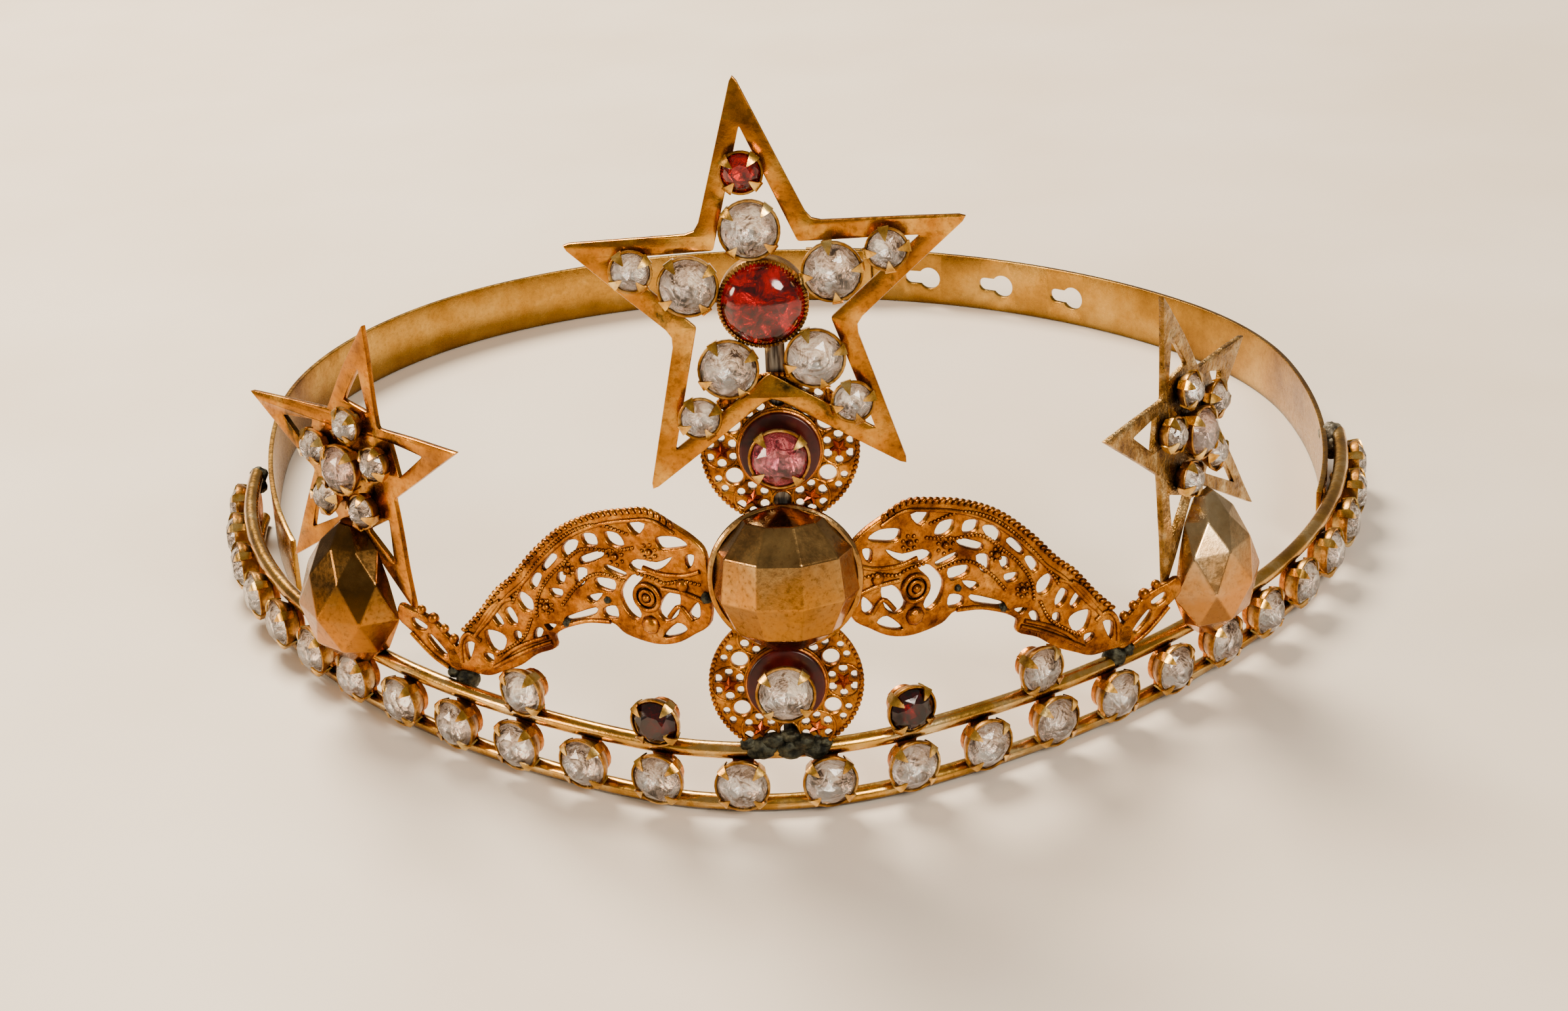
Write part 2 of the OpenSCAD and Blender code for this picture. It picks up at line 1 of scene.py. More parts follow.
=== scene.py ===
# Crown of gilt brass with claw-set glass stones: a gallery between two rails, a slotted strap,
# and three star ornaments with stamped wings. Pieces are drawn in millimetres on the planes
# that the CAD model puts them on, and brought to metres when they are finished.
from math import ceil, cos, pi, radians, sin

import bmesh
import bpy
from mathutils import Matrix, Vector, noise


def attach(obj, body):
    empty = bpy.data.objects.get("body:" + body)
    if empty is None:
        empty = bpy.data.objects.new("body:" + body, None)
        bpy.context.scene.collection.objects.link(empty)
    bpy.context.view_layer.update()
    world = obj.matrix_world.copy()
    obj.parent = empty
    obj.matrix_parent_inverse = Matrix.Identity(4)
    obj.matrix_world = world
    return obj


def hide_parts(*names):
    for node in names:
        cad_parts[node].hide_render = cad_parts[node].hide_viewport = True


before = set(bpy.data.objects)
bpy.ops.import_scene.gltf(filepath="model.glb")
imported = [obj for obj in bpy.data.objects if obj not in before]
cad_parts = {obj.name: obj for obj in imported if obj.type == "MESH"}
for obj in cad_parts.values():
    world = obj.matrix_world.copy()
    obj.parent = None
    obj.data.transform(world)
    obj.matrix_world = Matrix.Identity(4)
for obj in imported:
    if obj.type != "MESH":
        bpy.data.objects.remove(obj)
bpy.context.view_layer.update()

# --- Places, in millimetres ---------------------------------------------------------------
# Where the shared frame's origin lies in the drawing
MIDDLE = Vector((0.08, -2.1, 0))
TO_METRES = Matrix.Scale(0.001, 4) @ Matrix.Translation(-MIDDLE)
# Where the arcs of the rails start, and the height of each rail and row
FRONT_X, FRONT_Y = -1.4, -90.6
RAIL_R = 1.1
LOWER_Z, STONE_Z, UPPER_Z = RAIL_R, 4.9, 8.6
# The rails' plan is three arcs a side, each (radius, turn in degrees). Side 1 is right, -1 left.
NOSE, SIDE = (41, 25), (88, 180)
CHEEK = {1: (132, 28), -1: (124, 28)}
RAIL_END = {1: 134.65, -1: 132.05}
STONES_A_SIDE = 13
STONE_PITCH = 10.4
STONE_SHIFT = 1.55
SHEET = 0.8
CENTRE_LEAN = 5
WING_ROOT = (0.5, -92.4, UPPER_Z)
WING_SWEEP = 27.7


def arc_end(p, heading, r, turn):
    """The end of an arc that starts at p and turns left."""
    return (p[0] + r * (sin(heading + turn) - sin(heading)),
            p[1] + r * (cos(heading) - cos(heading + turn)))


def rail_at(s):
    """(x, y, heading) on the rails, s millimetres right of the front, or left of it if negative."""
    side = 1 if s >= 0 else -1
    p, heading, left = (FRONT_X * side, FRONT_Y), 0.0, abs(s)
    for r, turn in (NOSE, CHEEK[side], SIDE):
        step = min(left, r * radians(turn))
        p, heading, left = arc_end(p, heading, r, step / r), heading + step / r, left - step
    return side * p[0], p[1], side * heading


def stand(s, v=0.0, lean=0.0, turn=0.0, off=0.0):
    """A plane on the upper rail: X along it, Y up, Z out from the crown."""
    x, y, heading = rail_at(s)
    return (Matrix.Translation((x, y, UPPER_Z))
            @ Matrix.Rotation(heading + radians(turn), 4, "Z")
            @ Matrix.Rotation(radians(90 - lean), 4, "X")
            @ Matrix.Translation((0, v, off)))


def on(x, y, z=0.0, angle=0.0):
    """A place on a plane, turned by an angle in degrees."""
    return Matrix.Translation((x, y, z)) @ Matrix.Rotation(radians(angle), 4, "Z")


CENTRE = (Matrix.Translation((0, FRONT_Y, UPPER_Z))
          @ Matrix.Rotation(radians(90 - CENTRE_LEAN), 4, "X"))
LEFT = stand(-66.6, lean=4, turn=8, off=0.6)
RIGHT = stand(67.4, lean=4, turn=9, off=0.6)


def wing_plane(side):
    """The plane of one wing, swept back from the centre; the left one is a mirror image."""
    flip = Matrix.Scale(-1, 4, (1, 0, 0)) if side < 0 else Matrix()
    return (Matrix.Translation(WING_ROOT)
            @ Matrix.Rotation(radians(WING_SWEEP * side), 4, "Z")
            @ Matrix.Rotation(radians(90), 4, "X") @ flip)


def polar(r, angle):
    """(x, y) at this radius and angle in degrees."""
    return r * cos(radians(angle)), r * sin(radians(angle))


def shifted(points, x, y):
    """The same points, moved."""
    return [(p[0] + x, p[1] + y) for p in points]


def circle(r, steps, x=0.0, y=0.0):
    """Points around a circle."""
    return shifted([polar(r, 360 * k / steps) for k in range(steps)], x, y)


# --- Materials ----------------------------------------------------------------------------
def paint(value):
    """An sRGB hex colour as linear RGBA."""
    parts = [int(value[i:i + 2], 16) / 255 for i in (1, 3, 5)]
    return [c / 12.92 if c <= 0.04045 else ((c + 0.055) / 1.055) ** 2.4 for c in parts] + [1.0]


def add(tree, kind, inputs=None, stops=(), **settings):
    """A node with its settings; an input is given a value or the socket it is linked from."""
    node = tree.nodes.new(kind)
    for name, value in settings.items():
        setattr(node, name, value)
    for name, value in (inputs or {}).items():
        if isinstance(value, bpy.types.NodeSocket):
            tree.links.new(value, node.inputs[name])
        else:
            node.inputs[name].default_value = value
    while stops and len(node.color_ramp.elements) < len(stops):
        node.color_ramp.elements.new(0.5)
    for i, (place, value) in enumerate(stops):
        node.color_ramp.elements[i].position = place
        node.color_ramp.elements[i].color = paint(value)
    return node


def per_mm(size):
    """Noise scale for features of this many millimetres, in metre coordinates."""
    return 1000.0 / size


def material(name):
    """An empty material, its nodes, and the place on its piece in metres."""
    finish = bpy.data.materials.new(name)
    finish.use_nodes = True
    tree = finish.node_tree
    tree.nodes.clear()
    return finish, tree, add(tree, "ShaderNodeTexCoord").outputs["Object"]


def old_brass(name, pale, gold, brown, blotch, greened, rough, pits=0.25, specks=0.6,
              shade_in_hollows="#ffffff", low_reflection=None):
    """Gilt brass, stamped or drawn, never cleaned: bright where it is rubbed, a little green in
    patches, darkened by painted shade in its hollows, with handling pits, drawn 0.7 mm apart
    because finer ones don't show. blotch is the size in millimetres of its patches, greened how
    green they go, specks how much the pits darken it and shade_in_hollows how far painted shade
    darkens its hollows.
    low_reflection is (colour, from, to): a painted warm reflection on its lower part, strongest
    below the first height and gone above the second, in millimetres."""
    finish, tree, where = material(name)
    tone = add(tree, "ShaderNodeTexNoise",
               {"Vector": where, "Scale": per_mm(blotch), "Detail": 5.0, "Roughness": 0.62})
    base = add(tree, "ShaderNodeValToRGB",
               {"Fac": tone.outputs["Fac"]}, stops=((0.3, brown), (0.5, gold), (0.72, pale)))
    tinted = base.outputs["Color"]
    # Painted warm reflection: low down on the piece the colour turns towards a warm tint, up to a
    # height that wanders a little
    if low_reflection:
        kept, low, high = low_reflection
        drift = 0.012  # how far its edge wanders up and down, in metres
        height = add(tree, "ShaderNodeSeparateXYZ", {"Vector": where})
        wander = add(tree, "ShaderNodeMath",
                     {0: tone.outputs["Fac"], 1: drift, 2: height.outputs["Z"]},
                     operation="MULTIPLY_ADD")
        fade = add(tree, "ShaderNodeMapRange",
                   {"Value": wander.outputs[0], "From Min": low * 0.001 + drift / 2,
                    "From Max": high * 0.001 + drift / 2, "To Min": 0.85, "To Max": 0.0})
        tinted = add(tree, "ShaderNodeMix",
                     {0: fade.outputs[0], 6: tinted, 7: paint(kept)}, data_type="RGBA").outputs[2]
    speck = add(tree, "ShaderNodeTexNoise",
                {"Vector": where, "Scale": per_mm(0.7), "Detail": 3.0, "Roughness": 0.7})
    spotted = add(tree, "ShaderNodeValToRGB",
                  {"Fac": speck.outputs["Fac"]},
                  stops=((0.34, "#6b4a2c"), (0.46, "#e8e0d6"), (0.7, "#ffffff")))
    mottled = add(tree, "ShaderNodeMix",
                  {0: specks, 6: tinted, 7: spotted.outputs["Color"]}, data_type="RGBA",
                  blend_type="MULTIPLY")
    # Painted shade: the colour darkens to near-black brown where a surface is closed in by others
    # within about 1.5 mm
    open_air = add(tree, "ShaderNodeAmbientOcclusion", {"Distance": 0.0016}, samples=4)
    sheltered = add(tree, "ShaderNodeValToRGB",
                    {"Fac": open_air.outputs["AO"]}, stops=((0.28, shade_in_hollows), (0.8, "#000000")))
    shaded_in_hollows = add(tree, "ShaderNodeMix",
                 {0: sheltered.outputs["Color"], 6: mottled.outputs[2], 7: paint("#1d130a")},
                 data_type="RGBA")
    patch = add(tree, "ShaderNodeTexNoise",
                {"Vector": where, "Scale": per_mm(7.5), "Detail": 6.0, "Roughness": 0.7,
                 "Distortion": 0.6})
    spread = add(tree, "ShaderNodeMapRange",
                 {"Value": patch.outputs["Fac"], "From Min": 0.58, "From Max": 0.7,
                  "To Max": greened})
    aged = add(tree, "ShaderNodeMix",
               {0: spread.outputs[0], 6: shaded_in_hollows.outputs[2], 7: paint("#23281a")}, data_type="RGBA")
    dull = add(tree, "ShaderNodeMapRange",
               {"Value": speck.outputs["Fac"], "From Min": 0.65, "From Max": 0.35,
                "To Min": rough[0], "To Max": rough[1]})
    relief = add(tree, "ShaderNodeBump",
                 {"Height": speck.outputs["Fac"], "Strength": pits, "Distance": 0.0003})
    shade = add(tree, "ShaderNodeBsdfPrincipled",
                {"Base Color": aged.outputs[2], "Metallic": 1.0, "Roughness": dull.outputs[0],
                 "Normal": relief.outputs["Normal"]})
    add(tree, "ShaderNodeOutputMaterial", {"Surface": shade.outputs["BSDF"]})
    return finish


def cut_glass(name, tint, rough=0.02):
    """Pressed lead glass: clear, glossy facets with a faint haze of wear."""
    finish, tree, where = material(name)
    wear = add(tree, "ShaderNodeTexNoise", {"Vector": where, "Scale": per_mm(1.1), "Detail": 4.0})
    haze = add(tree, "ShaderNodeMapRange",
               {"Value": wear.outputs["Fac"], "From Min": 0.4, "From Max": 0.75, "To Min": rough,
                "To Max": rough + 0.16})
    relief = add(tree, "ShaderNodeBump",
                 {"Height": wear.outputs["Fac"], "Strength": 0.12, "Distance": 0.0002})
    shade = add(tree, "ShaderNodeBsdfPrincipled",
                {"Base Color": paint(tint), "Roughness": haze.outputs[0],
                 "Transmission Weight": 1.0, "IOR": 1.56, "Normal": relief.outputs["Normal"]})
    add(tree, "ShaderNodeOutputMaterial", {"Surface": shade.outputs["BSDF"]})
    return finish


def aged_foil(name, bright, tone, dark):
    """Mirror foil behind a stone: silvered facets gone pinkish and grey, with black spots."""
    finish, tree, where = material(name)
    cloud = add(tree, "ShaderNodeTexNoise",
                {"Vector": where, "Scale": per_mm(1.5), "Detail": 5.0, "Roughness": 0.7,
                 "Distortion": 0.8})
    shades = add(tree, "ShaderNodeValToRGB",
                 {"Fac": cloud.outputs["Fac"]}, stops=((0.37, dark), (0.47, tone), (0.58, bright)))
    crackle = add(tree, "ShaderNodeBump",
                  {"Height": cloud.outputs["Fac"], "Strength": 0.5, "Distance": 0.0004})
    shade = add(tree, "ShaderNodeBsdfPrincipled",
                {"Base Color": shades.outputs["Color"], "Metallic": 1.0, "Roughness": 0.22,
                 "Normal": crackle.outputs["Normal"]})
    add(tree, "ShaderNodeOutputMaterial", {"Surface": shade.outputs["BSDF"]})
    return finish


def tin_solder(name, light, dark, rough=0.5):
    """Soft solder run in by hand: dull lead-grey metal gone black and green."""
    finish, tree, where = material(name)
    cloud = add(tree, "ShaderNodeTexNoise",
                {"Vector": where, "Scale": per_mm(1.2), "Detail": 6.0, "Roughness": 0.65})
    shades = add(tree, "ShaderNodeValToRGB",
                 {"Fac": cloud.outputs["Fac"]}, stops=((0.4, dark), (0.68, light)))
    dull = add(tree, "ShaderNodeMapRange",
               {"Value": cloud.outputs["Fac"], "To Min": rough + 0.15, "To Max": rough - 0.15})
    relief = add(tree, "ShaderNodeBump",
                 {"Height": cloud.outputs["Fac"], "Strength": 0.6, "Distance": 0.0005})
    shade = add(tree, "ShaderNodeBsdfPrincipled",
                {"Base Color": shades.outputs["Color"], "Metallic": 0.75,
                 "Roughness": dull.outputs[0], "Normal": relief.outputs["Normal"]})
    add(tree, "ShaderNodeOutputMaterial", {"Surface": shade.outputs["BSDF"]})
    return finish


def red_enamel(name):
    """Fired glass enamel, nearly black red, pooled and glossy."""
    finish, tree, where = material(name)
    cloud = add(tree, "ShaderNodeTexNoise", {"Vector": where, "Scale": per_mm(2.5), "Detail": 3.0})
    shades = add(tree, "ShaderNodeValToRGB",
                 {"Fac": cloud.outputs["Fac"]}, stops=((0.35, "#1c0302"), (0.7, "#4a0806")))
    relief = add(tree, "ShaderNodeBump",
                 {"Height": cloud.outputs["Fac"], "Strength": 0.2, "Distance": 0.0004})
    shade = add(tree, "ShaderNodeBsdfPrincipled",
                {"Base Color": shades.outputs["Color"], "Roughness": 0.3,
                 "Specular IOR Level": 0.3, "Normal": relief.outputs["Normal"]})
    add(tree, "ShaderNodeOutputMaterial", {"Surface": shade.outputs["BSDF"]})
    return finish


def drawn_steel(name):
    """Mild steel strip drawn through a die: grey, streaked along its length, specked with rust."""
    finish, tree, where = material(name)
    along = add(tree, "ShaderNodeMapping", {"Vector": where, "Scale": (1.0, 1.0, 0.06)})
    streak = add(tree, "ShaderNodeTexNoise",
                 {"Vector": along.outputs["Vector"], "Scale": per_mm(0.35), "Detail": 4.0})
    shades = add(tree, "ShaderNodeValToRGB",
                 {"Fac": streak.outputs["Fac"]}, stops=((0.35, "#4a4038"), (0.65, "#a39c90")))
    shade = add(tree, "ShaderNodeBsdfPrincipled",
                {"Base Color": shades.outputs["Color"], "Metallic": 1.0, "Roughness": 0.38})
    add(tree, "ShaderNodeOutputMaterial", {"Surface": shade.outputs["BSDF"]})
    return finish


# How far painted shade darkens each brass in its hollows is set by a grey, white by default, which
# gives the most.
rail_brass = old_brass("gilt_brass_rail", "#ecd6a0", "#c8963f", "#855a22", blotch=9,
                       greened=0.4, rough=(0.16, 0.3), pits=0.08, specks=0.3)
strap_brass = old_brass("rolled_brass_strap", "#c9a050", "#a3762a", "#785018", blotch=16,
                        greened=0.15, rough=(0.2, 0.34), pits=0.05, specks=0.15)
tab_brass = old_brass("copper_brass_tab", "#e09a4e", "#b86c28", "#7a4014", blotch=4,
                      greened=0.4, rough=(0.25, 0.42), shade_in_hollows="#505050")
cup_brass = old_brass("pressed_brass_cup", "#dcb870", "#a8742c", "#5b3c18", blotch=3,
                      greened=0.5, rough=(0.26, 0.46), pits=0.2, shade_in_hollows="#c0c0c0")
claw_brass = old_brass("bent_brass_claw", "#f6dc94", "#d8a648", "#8a5a20", blotch=3,
                       greened=0.1, rough=(0.18, 0.32), pits=0.08, specks=0.3, shade_in_hollows="#404040")
stamped_brass = old_brass("stamped_brass", "#dc9a3a", "#a56210", "#542606", blotch=3.5,
                          greened=0.45, rough=(0.22, 0.44), pits=0.35)
boss_copper = old_brass("copper_red_boss", "#e07c40", "#b04a16", "#6b250c", blotch=2,
                        greened=0.1, rough=(0.22, 0.36), pits=0.15, shade_in_hollows="#404040")
star_brass = old_brass("sheet_brass_star", "#e6b04c", "#b4731a", "#74440e", blotch=7,
                       greened=0.9, rough=(0.16, 0.32), pits=0.07, specks=0.4, shade_in_hollows="#c0c0c0")
pitted_brass = old_brass("pitted_brass_star", "#d2bc8c", "#a07a3c", "#5f4018", blotch=2.5,
                         greened=0.55, rough=(0.22, 0.46), pits=0.8)
# The bead and the two pears get a painted warm reflection on their lower facets.
bead_brass = old_brass("faceted_brass_bead", "#b8945c", "#8a6a40", "#5e442a", blotch=6,
                       greened=0.45, rough=(0.14, 0.28), pits=0.07, specks=0.5,
                       low_reflection=("#c07f1c", 28, 37))
olive_brass = old_brass("dark_brass_pear", "#8f6c3a", "#6a4a22", "#40301a", blotch=7,
                        greened=0.4, rough=(0.14, 0.28), pits=0.05, specks=0.4,
                        low_reflection=("#b8741a", 13, 19))
pale_brass = old_brass("pale_gilt_pear", "#dccaa4", "#bea378", "#94754a", blotch=10,
                       greened=0.1, rough=(0.16, 0.28), pits=0.05, specks=0.25,
                       low_reflection=("#c07c28", 15, 23))
clear_glass = cut_glass("clear_lead_glass", "#fbf7f0")
smoky_glass = cut_glass("smoky_lead_glass", "#cbb2a6")
garnet_glass = cut_glass("garnet_glass", "#7c0f1c")
hyacinth_glass = cut_glass("hyacinth_glass", "#cc2a12")
amethyst_glass = cut_glass("rose_amethyst_glass", "#d98a9c")
ruby_glass = cut_glass("ruby_glass", "#d4081c", 0.01)
silver_foil = aged_foil("aged_silver_foil", "#ffffff", "#d8c4b6", "#3c2e26")
dark_foil = aged_foil("dark_foil", "#b0564c", "#6a2a26", "#200a0a")
copper_foil = aged_foil("copper_foil", "#e89a70", "#a8482c", "#3a120a")
rose_foil = aged_foil("rose_foil", "#f4dcd6", "#bc7c84", "#5c2c34")
black_solder = tin_solder("black_green_solder", "#4c4c3c", "#0f110c")
grey_solder = tin_solder("grey_solder", "#a39a86", "#3d382d", 0.42)
dark_red_enamel = red_enamel("dark_red_enamel")
steel_strip = drawn_steel("drawn_steel_strip")
# Materials and slot of what repeats
CLAW_CUP = [cup_brass, claw_brass], "cup_brass"
CLEAR_STONE = [clear_glass, silver_foil], "clear_glass"


# --- Making pieces ------------------------------------------------------------------------
def made(bm):
    """A part kept as a mesh, to be stamped onto pieces."""
    part = bpy.data.meshes.new("part")
    bm.to_mesh(part)
    bm.free()
    return part


def stamp(bm, part, place=Matrix(), finish=None):
    """Adds a copy of a part to a piece, with its own materials or one of the piece's."""
    if finish is not None:
        part.polygons.foreach_set("material_index", [finish] * len(part.polygons))
    part.transform(place)
    bm.from_mesh(part)
    part.transform(place.inverted())


# Edges that turn by more than these degrees show as sharp: cut facets, sheet and wire, stamped
# relief, and run solder
CRISP, PRESSED, STAMPED, RUN = 3, 32, 50, 80


def finished(name, bm, finishes, slot, nodes, body="crown", angle=PRESSED):
    """Brings a piece to metres, faces it outwards and rides it on its body."""
    bmesh.ops.transform(bm, matrix=TO_METRES, verts=bm.verts)
    bmesh.ops.recalc_face_normals(bm, faces=bm.faces)
    mesh = bpy.data.meshes.new(name)
    bm.to_mesh(mesh)
    bm.free()
    mesh.polygons.foreach_set("use_smooth", [True] * len(mesh.polygons))
    mesh.set_sharp_from_angle(angle=radians(angle))
    for finish in finishes:
        mesh.materials.append(finish)
    piece = bpy.data.objects.new(name, mesh)
    bpy.context.scene.collection.objects.link(piece)
    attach(piece, body)
    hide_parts(*nodes)


def turned(profile, steps):
    """Spins a profile of (radius, height) into a closed round part."""
    bm = bmesh.new()
    verts = [bm.verts.new((r, 0, z)) for r, z in profile]
    edges = [bm.edges.new(pair) for pair in zip(verts, verts[1:])]
    bmesh.ops.spin(bm, geom=verts + edges, cent=(0, 0, 0), axis=(0, 0, 1), angle=2 * pi,
                   steps=steps, use_merge=True)
    bmesh.ops.remove_doubles(bm, verts=bm.verts, dist=1e-4)
    bmesh.ops.recalc_face_normals(bm, faces=bm.faces)
    return bm


def from_curve(lines, closed, **settings):
    """The mesh of a curve through each line of points."""
    shape = bpy.data.curves.new("line", "CURVE")
    for name, value in settings.items():
        setattr(shape, name, value)
    for line in lines:
        spline = shape.splines.new("POLY")
        spline.points.add(len(line) - 1)
        for point, p in zip(spline.points, line):
            point.co = (*p, 1.0) if len(p) == 3 else (*p, 0.0, 1.0)
        spline.use_cyclic_u = closed
    holder = bpy.data.objects.new("line", shape)
    mesh = bpy.data.meshes.new_from_object(holder)
    bpy.data.objects.remove(holder)
    bm = bmesh.new()
    bm.from_mesh(mesh)
    bmesh.ops.remove_doubles(bm, verts=bm.verts, dist=1e-4)
    bpy.data.meshes.remove(mesh)
    for face in bm.faces:
        face.material_index = 0
    return bm


def plate(loops, thick, edge):
    """A flat plate with holes and edges rounded by this much, from Z 0 up."""
    bm = from_curve(loops, True, dimensions="2D", fill_mode="BOTH", extrude=thick / 2 - edge,
                    bevel_depth=edge, bevel_resolution=1, offset=-edge)
    bmesh.ops.translate(bm, vec=(0, 0, thick / 2), verts=bm.verts)
    return bm


def wire(line, radius, closed=False, sides=2):
    """Round wire along a line of points."""
    return from_curve([line], closed, dimensions="3D", bevel_depth=radius,
                      bevel_resolution=sides, use_fill_caps=not closed)


def lay_wire(bm, points, z, radius, closed=False, finish=None, sides=2):
    """Adds round wire that lies flat on a piece, with its middle at height z."""
    stamp(bm, made(wire([Vector((*p, z)) for p in points], radius, closed, sides)),
          finish=finish)


def smooth(points, steps=4, closed=False):
    """A smooth line through a few points."""
    p = [Vector(q) for q in points]
    n = len(p)
    line = []
    for i in range(n if closed else n - 1):
        a, b, c, d = ((p[(i + k) % n] if closed else p[max(0, min(n - 1, i + k))])
                      for k in (-1, 0, 1, 2))
        for j in range(steps):
            t = j / steps
            line.append((2 * b + (c - a) * t + (2 * a - 5 * b + 4 * c - d) * t * t
                         + (3 * b - a - 3 * c + d) * t ** 3) / 2)
    return line if closed else line + [p[-1]]


def spaced(line, pitch):
    """Even steps along a line, as (point, direction)."""
    total = sum((b - a).length for a, b in zip(line, line[1:]))
    step = total / max(1, round(total / pitch))
    found, ahead = [], 0.0
    for a, b in zip(line, line[1:]):
        length = (b - a).length
        while length and ahead <= length + 1e-6:
            found.append((a.lerp(b, ahead / length), (b - a).normalized()))
            ahead += step
        ahead -= length
    return found


def bead_part(r, flat=1.0):
    """A tiny round grain."""
    bm = bmesh.new()
    bmesh.ops.create_uvsphere(bm, u_segments=8, v_segments=5, radius=r)
    bmesh.ops.scale(bm, vec=(1, 1, flat), verts=bm.verts)
    return made(bm)


def strap_part(sections, thick):
    """A thin strip through (x, z, half width) sections, its last one drawn to a point."""
    bm = bmesh.new()
    x, z, half = sections[0]
    edge = bm.edges.new([bm.verts.new((x, -half, z)), bm.verts.new((x, half, z))])
    for x, z, half in sections[1:]:
        grown = bmesh.ops.extrude_edge_only(bm, edges=[edge])["geom"]
        edge = next(g for g in grown if isinstance(g, bmesh.types.BMEdge)
                    and all(v in grown for v in g.verts))
        for vert in edge.verts:
            vert.co = (x, half if vert.co.y > 0 else -half, z)
    bmesh.ops.recalc_face_normals(bm, faces=bm.faces)
    bmesh.ops.solidify(bm, geom=bm.faces[:], thickness=thick)
    return bm


def cup_part(r):
    """A claw cup: a tapered foot, a thin wall and four sharp claws bent over the stone."""
    foot, girdle, rim, wall = 0.66 * r, 0.6 * r, 0.77 * r, 0.35
    bm = turned([(0, 0), (foot - 0.15, 0), (foot, 0.15), (0.9 * r, 0.42 * r), (r, girdle),
                 (r + 0.04, rim - 0.08), (r - 0.04, rim), (r - 0.22, rim), (r - 0.3, rim - 0.1),
                 (r - wall, girdle), (foot - wall, wall), (0, wall)], 28)
    for face in bm.faces:
        face.material_index = 0
    claw = made(strap_part([(r - 0.1, 0.3 * r, 0.5), (r + 0.12, girdle, 0.62),
                            (r + 0.2, rim + 0.1, 0.66), (r - 0.12, rim + 0.5, 0.58),
                            (r - 0.75, rim + 0.8, 0.32), (r - 1.35, rim + 0.98, 0.06)], 0.22))
    for angle in (45, 135, 225, 315):
        stamp(bm, claw, Matrix.Rotation(radians(angle), 4, "Z"), 1)
    return made(bm)


def stone_part(r, rise=0.4):
    """A round brilliant: glass table and crown facets (0) over a foiled pavilion (1)."""
    seat, girdle = r - 0.36, 0.72 * r
    top = girdle + rise * r
    bm = bmesh.new()
    folds = 8
    turn = 180 / folds
    for k in range(folds):
        a = 2 * turn * k
        for radius, angle, z in ((0.52 * seat, a, top),
                                 (0.8 * seat, a + turn, girdle + 0.62 * rise * r),
                                 (seat, a, girdle), (seat, a + turn, girdle),
                                 (seat, a, girdle - 0.12), (seat, a + turn, girdle - 0.12),
                                 (0.5 * seat, a + turn, 0.3 * r)):
            bm.verts.new((*polar(radius, angle), z))
    bm.verts.new((0, 0, 0.16 * r))
    bmesh.ops.convex_hull(bm, input=bm.verts)
    bmesh.ops.dissolve_limit(bm, angle_limit=radians(1), verts=bm.verts, edges=bm.edges)
    for face in bm.faces:
        face.material_index = 0 if face.calc_center_median().z > girdle - 0.1 else 1
    return made(bm)


def lump(bm, centre, size, seed, finish=0, stretch=1.0):
    """A run drop of solder, never quite round."""
    part = bmesh.new()
    bmesh.ops.create_icosphere(part, subdivisions=4, radius=size)
    for vert in part.verts:
        p = vert.co / size + Vector((seed * 7.3, seed, 0))
        vert.co *= 0.93 + 0.2 * noise.noise(p * 1.4) + 0.08 * noise.noise(p * 4)
        vert.co.x *= stretch
    stamp(bm, made(part), Matrix.Translation(centre), finish)


def hull_half(rings, depth):
    """A faceted hollow half bead: rings of (height, half width, facets, first angle)."""
    bm = bmesh.new()
    for v, half, count, first in rings:
        for k in range(count):
            x, z = polar(half, first + 360 * k / count)
            bm.verts.new((x, v, z * depth))
    bmesh.ops.remove_doubles(bm, verts=bm.verts, dist=0.01)
    bmesh.ops.convex_hull(bm, input=bm.verts)
    bmesh.ops.dissolve_limit(bm, angle_limit=radians(2), verts=bm.verts, edges=bm.edges)
    bmesh.ops.bevel(bm, geom=bm.edges[:], offset=0.16, segments=2, profile=0.5, affect="EDGES",
                    material=-1, clamp_overlap=True)
    bmesh.ops.bisect_plane(bm, geom=bm.verts[:] + bm.edges[:] + bm.faces[:], dist=1e-4,
                           plane_co=(0, 0, 0), plane_no=(0, 0, 1), clear_inner=True)
    bmesh.ops.recalc_face_normals(bm, faces=bm.faces)
    bmesh.ops.solidify(bm, geom=bm.faces[:], thickness=0.6)
    return bm


# --- Gallery ------------------------------------------------------------------------------
GALLERY_CUP_R = 3.5
stone_places = [stand(STONE_SHIFT + side * (i + 0.5) * STONE_PITCH, STONE_Z - UPPER_Z)
                for side in (-1, 1) for i in range(STONES_A_SIDE)]


def rail_line(z):
    """The middle of a rail's wire, from its left end to its right end."""
    steps = 220
    span = RAIL_END[1] + RAIL_END[-1]
    return [Vector((*rail_at(-RAIL_END[-1] + span * k / steps)[:2], z)) for k in range(steps + 1)]


for name, z in (("lower_rail", LOWER_Z), ("upper_rail", UPPER_Z)):
    finished(name + "_wire", wire(rail_line(z), RAIL_R, sides=5), [rail_brass], "rail_brass",
             [name])


def flare(top, waist, rise, drop):
    """Outline of a tab that widens where it meets each rail, standing on the stone's centre."""
    upper, lower, spread = 2.3, 1.6, 0.7
    high = [(waist + (top - waist) * (1 - cos(radians(a))), rise - upper + upper * sin(radians(a)))
            for a in range(0, 91, 15)]
    low = [(waist + spread * (1 - cos(radians(a))), -drop + lower - lower * sin(radians(a)))
           for a in range(90, -1, -15)]
    half = low + high
    return half + [(-x, y) for x, y in reversed(half)]


